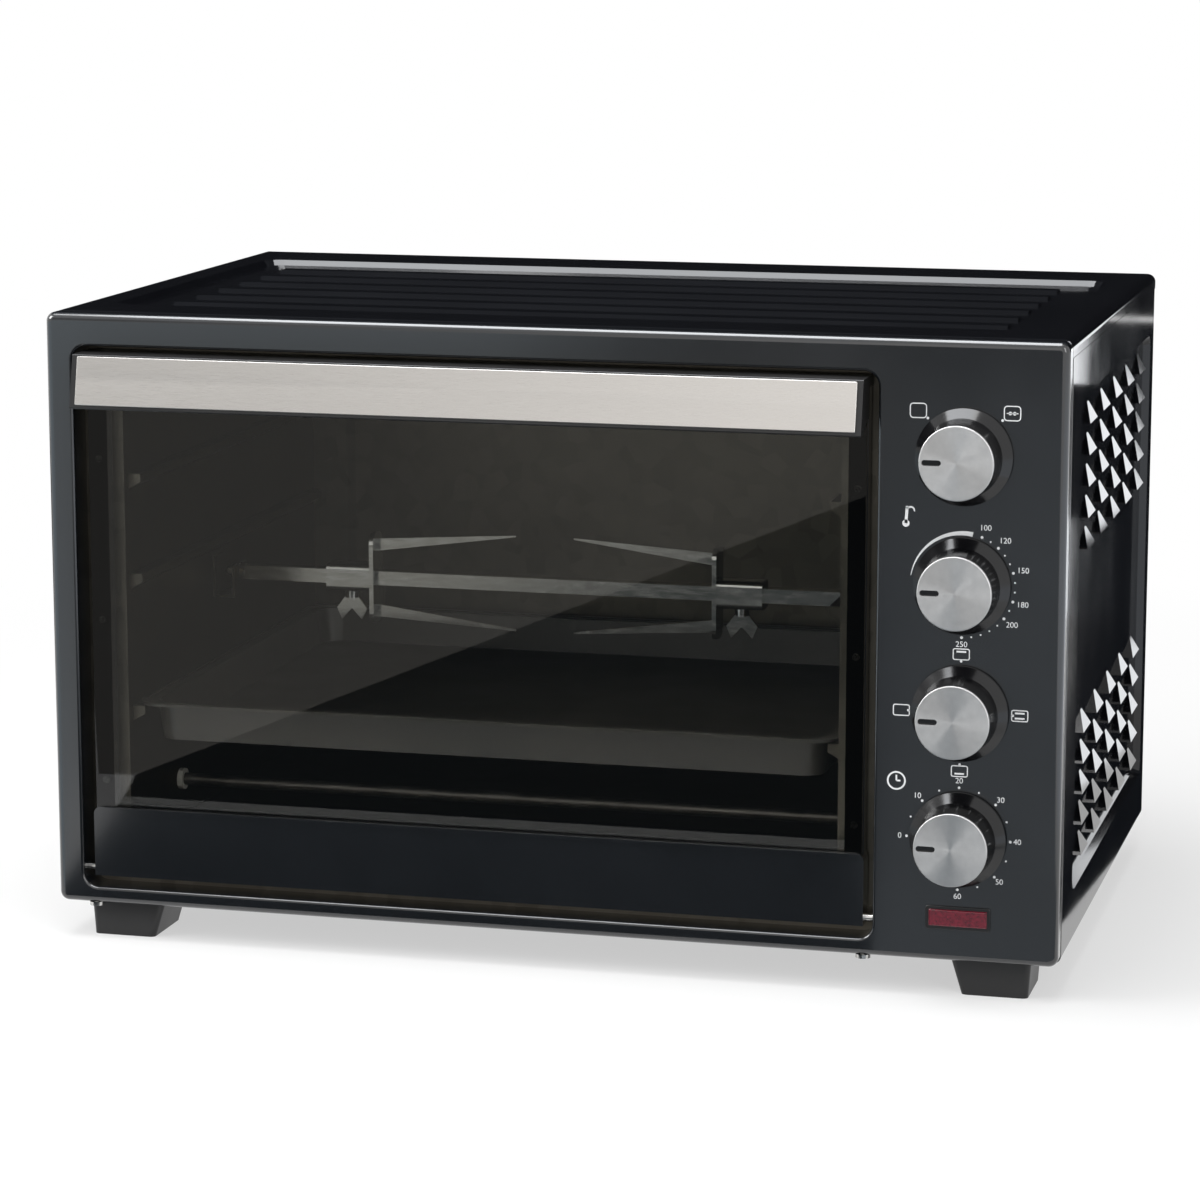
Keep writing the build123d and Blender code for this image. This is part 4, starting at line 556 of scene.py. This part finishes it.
def temperature_marks(builder, centre):
    """A growing arc, then dots with numbers, and a thermometer."""
    swept(builder, centre, SCALE_R, WEDGE_START, WEDGE_END, WEDGE_THIN, WEDGE_THICK)
    for i in range(TEMPERATURE_LAST + 1):
        angle = TEMPERATURE_START + (TEMPERATURE_END - TEMPERATURE_START) * i / TEMPERATURE_LAST
        size = TEMPERATURE_LABEL_DOT if i in TEMPERATURE_LABELS else TEMPERATURE_DOT
        dot(builder, clockwise(centre, SCALE_R, angle), DOT_R * size)
        if i in TEMPERATURE_LABELS:
            gap = TEMPERATURE_LAST_GAP if i == TEMPERATURE_LAST else TEMPERATURE_LABEL_GAP
            label(builder, TEMPERATURE_LABELS[i], clockwise(centre, SCALE_R + gap, angle))
    thermometer(builder, moved(centre, *BULB_AT))


def heat_selector_marks(builder, centre):
    """Four dots with the cavity's sign at each and bars for its heaters."""
    for angle, levels in HEAT_MARKS.items():
        dot(builder, clockwise(centre, SCALE_R, angle), DOT_R * HEAT_DOT)
        spot = clockwise(centre, SCALE_R + HEAT_ICON_GAP, angle)
        frame_icon(builder, spot, HEAT_ICON_H, HEAT_ICON_R)
        heat_bars(builder, spot, levels)


def timer_marks(builder, centre):
    """Dots with minutes at every second one, and a clock."""
    for i in range(2 * len(TIMER_MINUTES) - 1):
        angle = TIMER_START + i * TIMER_STEP
        numbered = i % 2 == 0
        size = TIMER_LABEL_DOT if numbered else TIMER_DOT
        dot(builder, clockwise(centre, SCALE_R, angle), DOT_R * size)
        if numbered:
            label(builder, str(TIMER_MINUTES[i // 2]), clockwise(centre, SCALE_R + TIMER_LABEL_GAP, angle))
    clock_face(builder, moved(centre, *CLOCK_AT))


PRINTS = {
    "function": function_marks,
    "temperature": temperature_marks,
    "heat_selector": heat_selector_marks,
    "timer": timer_marks,
}
for control, draw in PRINTS.items():
    low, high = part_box(f"{control}_shaft")
    obj, builder = flat_print(f"{control}_print", ink_white)
    draw(builder, ((low[0] + high[0]) / 2 / MM, (low[2] + high[2]) / 2 / MM))
    settle(obj, builder, "casing")


# Stage: floor, cards that only reflections see, lamps, world and camera


def stage_plane(name, corners, colour_material):
    """A flat stage piece with the given corners."""
    mesh = bpy.data.meshes.new(name)
    mesh.from_pydata(corners, [], [tuple(range(len(corners)))])
    mesh.materials.append(colour_material)
    obj = bpy.data.objects.new(name, mesh)
    scene.collection.objects.link(obj)
    obj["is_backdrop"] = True
    return obj


def card(name, corners, glow, in_glass=True):
    """A card that only reflections see, those inside the glass among them unless in_glass says no."""
    obj = stage_plane(name, corners, glow)
    obj.visible_transmission = in_glass
    obj.visible_camera = False
    obj.visible_diffuse = False
    obj.visible_shadow = False
    obj.visible_volume_scatter = False


def lying(x, y, z):
    """Corners of a level rectangle: x and y are (low, high)."""
    return [(x[0], y[0], z), (x[1], y[0], z), (x[1], y[1], z), (x[0], y[1], z)]


def standing(x, y, z):
    """Corners of an upright rectangle that faces the front: x and z are (low, high)."""
    return [(x[0], y, z[0]), (x[1], y, z[0]), (x[1], y, z[1]), (x[0], y, z[1])]


def on_floor(*points, lift):
    """Corners at (x, y), a little above the floor."""
    return [(x, y, lift) for x, y in points]


def seen_rays(tree):
    """1 for rays of the camera, of reflections and through glass."""
    rays = tree.nodes.new("ShaderNodeLightPath")
    total = rays.outputs["Is Camera Ray"]
    for kind in ("Is Glossy Ray", "Is Transmission Ray"):
        total = compute(tree, "MAXIMUM", total, rays.outputs[kind])
    return total


def pale_floor():
    """Floor that glows white to what sees it, less so near the part, where it keeps the soft shadow."""
    made, tree, shader = material("stage_floor")
    where = place(tree)
    pale = ramp(tree, noise(tree, where, scale=3.0), dark=(0.80, 0.80, 0.80), light=(0.83, 0.83, 0.83))
    tree.links.new(pale, shader.inputs["Base Color"])
    shader.inputs["Roughness"].default_value = 0.9
    shader.inputs["Specular IOR Level"].default_value = 0.0
    glow = tree.nodes.new("ShaderNodeEmission")
    glow.inputs["Strength"].default_value = 1.0
    away = tree.nodes.new("ShaderNodeVectorMath")
    away.operation = "LENGTH"
    tree.links.new(where, away.inputs[0])
    fade = spread(tree, away.outputs["Value"], low=0.55, high=1.0, start=0.3, end=1.1)
    share = compute(tree, "MULTIPLY", seen_rays(tree), fade)
    blend(tree, share, shader.outputs["BSDF"], glow.outputs["Emission"])
    return made


def card_glow(name, colour, strength, fade=None):
    """A card's light; fade is (strength at the other end, x of the first end, x of the other end)."""
    made, tree, shader = material(name)
    tree.nodes.remove(shader)
    glow = tree.nodes.new("ShaderNodeEmission")
    glow.inputs["Color"].default_value = (*colour, 1)
    glow.inputs["Strength"].default_value = strength
    if fade:
        axes = tree.nodes.new("ShaderNodeSeparateXYZ")
        tree.links.new(place(tree), axes.inputs["Vector"])
        tree.links.new(spread(tree, axes.outputs["X"], strength, *fade), glow.inputs["Strength"])
    surface(tree, glow.outputs["Emission"])
    return made


def soft_lamp(name, place_at, aim_at, size, power):
    """A rectangular area lamp that looks at a point."""
    lamp = bpy.data.lights.new(name, "AREA")
    lamp.shape = "RECTANGLE"
    lamp.size, lamp.size_y = size
    lamp.energy = power
    obj = bpy.data.objects.new(name, lamp)
    obj.location = place_at
    obj.rotation_euler = (Vector(aim_at) - Vector(place_at)).to_track_quat("-Z", "Y").to_euler()
    scene.collection.objects.link(obj)


# Floor
FLOOR_REACH = 6.0
stage_plane("floor", lying((-FLOOR_REACH, FLOOR_REACH), (-FLOOR_REACH, FLOOR_REACH), 0), pale_floor())

# Card colours and the strengths that two cards share
COOL = (0.8, 0.92, 1.0)
PALE = (0.95, 0.97, 1.0)
DARK_GLOW = 0.06
FAINT_GLOW = 0.012

# Card places: the heights of the cards on the floor, and the lines where the front ones begin, meet and end
CARD_LIFT = 0.001
UPPER_LIFT = 0.002
CARD_DOOR = -0.2
CARD_NEAR = -0.47
CARD_ROW = -0.53
CARD_FAR = -2.7
CARD_END = -4.5
CARD_SPLIT = -0.76
CARD_RIGHT = 0.5
DARK_LEFT = -0.36
BACK_WALL = 3.0
HOOD_WALL = 0.9
HOOD_RIGHT = 1.0

# The slanting edge that the glass shows, with a mid card left of it and a dark one right of it
EDGE_NEAR = (-0.376, CARD_ROW)
EDGE_BEND = (-0.135, -1.79)
EDGE_FAR = (0.01, CARD_FAR)

# Cards
card("card_mid",
     on_floor((-0.40, CARD_ROW), (-1.29, CARD_FAR), EDGE_FAR, EDGE_BEND, EDGE_NEAR, lift=CARD_LIFT),
     card_glow("card_mid", (1.0, 0.98, 0.93), strength=0.32))
card("card_front",
     on_floor(EDGE_NEAR, EDGE_BEND, EDGE_FAR, (CARD_SPLIT, CARD_FAR), (CARD_SPLIT, CARD_END),
              (CARD_RIGHT, CARD_END), (CARD_RIGHT, CARD_NEAR), (DARK_LEFT, CARD_NEAR), lift=CARD_LIFT),
     card_glow("card_dark", COOL, DARK_GLOW))
card("card_near",
     on_floor((DARK_LEFT, CARD_NEAR), (CARD_RIGHT, CARD_NEAR), (CARD_RIGHT, CARD_DOOR), (-0.3, CARD_DOOR),
              lift=CARD_LIFT),
     card_glow("card_near", COOL, DARK_GLOW), in_glass=False)
card("card_rear",
     standing(x=(-3.0, 5.0), y=BACK_WALL, z=(UPPER_LIFT, 6.0)),
     card_glow("card_rear", (0.8, 0.85, 1.0), FAINT_GLOW))
card("card_side",
     on_floor((0.28, 0.25), (0.3, -0.09), (0.425, HOOD_WALL), (0.9, 2.95), (-2.0, 2.95), (-2.0, 0.25),
              lift=CARD_LIFT),
     card_glow("card_side", (0.7, 0.8, 1.0), FAINT_GLOW))
card("card_right",
     on_floor((0.55, -1.6), (2.6, -1.6), (2.6, 1.2), (0.75, 1.2), lift=CARD_LIFT),
     card_glow("card_right", (0.88, 0.93, 1.0), strength=1.3))
card("card_above",
     lying(x=(-0.9, 0.4), y=(-0.9, 0.3), z=2.0),
     card_glow("card_above", PALE, strength=9.0))
card("card_trim",
     standing(x=(-2.2, 0.6), y=-3.2, z=(0.5, 2.0)),
     card_glow("card_trim", (1.0, 0.985, 0.97), strength=0.42, fade=(1.3, -1.5, -0.4)))
card("card_left",
     on_floor((-0.31, -0.25), (-0.42, CARD_ROW), (-1.32, CARD_FAR), (CARD_SPLIT, CARD_FAR),
              (CARD_SPLIT, CARD_END), (-4.0, CARD_END), (-4.0, -0.25), lift=CARD_LIFT),
     card_glow("card_left", COOL, strength=1.1))
card("card_panel",
     on_floor((0.172, CARD_DOOR), (-0.28, -2.55), (CARD_RIGHT, -2.55), (CARD_RIGHT, CARD_DOOR),
              lift=UPPER_LIFT),
     card_glow("card_panel", (0.85, 0.93, 1.0), strength=0.45), in_glass=False)
hood_glow = card_glow("card_hoods", PALE, strength=2.2)
card("card_hoods", standing(x=(0.412, HOOD_RIGHT), y=HOOD_WALL, z=(0.185, 0.3)), hood_glow)
card("card_low_hoods", standing(x=(0.43, HOOD_RIGHT), y=HOOD_WALL, z=(0.003, 0.08)), hood_glow)
card("card_roof",
     lying(x=(-3.0, 3.0), y=(0.35, BACK_WALL), z=3.0),
     card_glow("card_roof", (0.85, 0.9, 1.0), strength=0.15))

# Lamps
soft_lamp("key", place_at=(-2.3, -1.3, 1.7), aim_at=(0, 0, 0.15), size=(1.3, 1.2), power=54)
soft_lamp("fill", place_at=(1.6, -1.6, 1.1), aim_at=(0, 0, 0.15), size=(0.6, 1.4), power=10)
soft_lamp("overhead", place_at=(-0.2, -0.4, 2.2), aim_at=(0, 0, 0.2), size=(1.6, 1.0), power=36)

# World: white to what sees it, dimmer as a light
WORLD_LIGHT = 0.45
WORLD_SEEN = 1.0
world = bpy.data.worlds.new("studio")
scene.world = world
world.use_nodes = True
sky = world.node_tree.nodes["Background"]
sky.inputs["Color"].default_value = (1, 1, 1, 1)
brightness = spread(world.node_tree, seen_rays(world.node_tree), WORLD_LIGHT, WORLD_SEEN, start=0.0, end=1.0)
world.node_tree.links.new(brightness, sky.inputs["Strength"])

# Camera
camera = bpy.data.cameras.new("camera")
camera.lens = CAMERA_LENS
camera.sensor_width = CAMERA_SENSOR
camera.clip_end = CAMERA_REACH
eye = bpy.data.objects.new("camera", camera)
eye.location = CAMERA_PLACE
eye.rotation_euler = (CAMERA_AIM - CAMERA_PLACE).to_track_quat("-Z", "Y").to_euler()
scene.collection.objects.link(eye)
scene.camera = eye

scene.view_settings.view_transform = "Standard"

low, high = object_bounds()
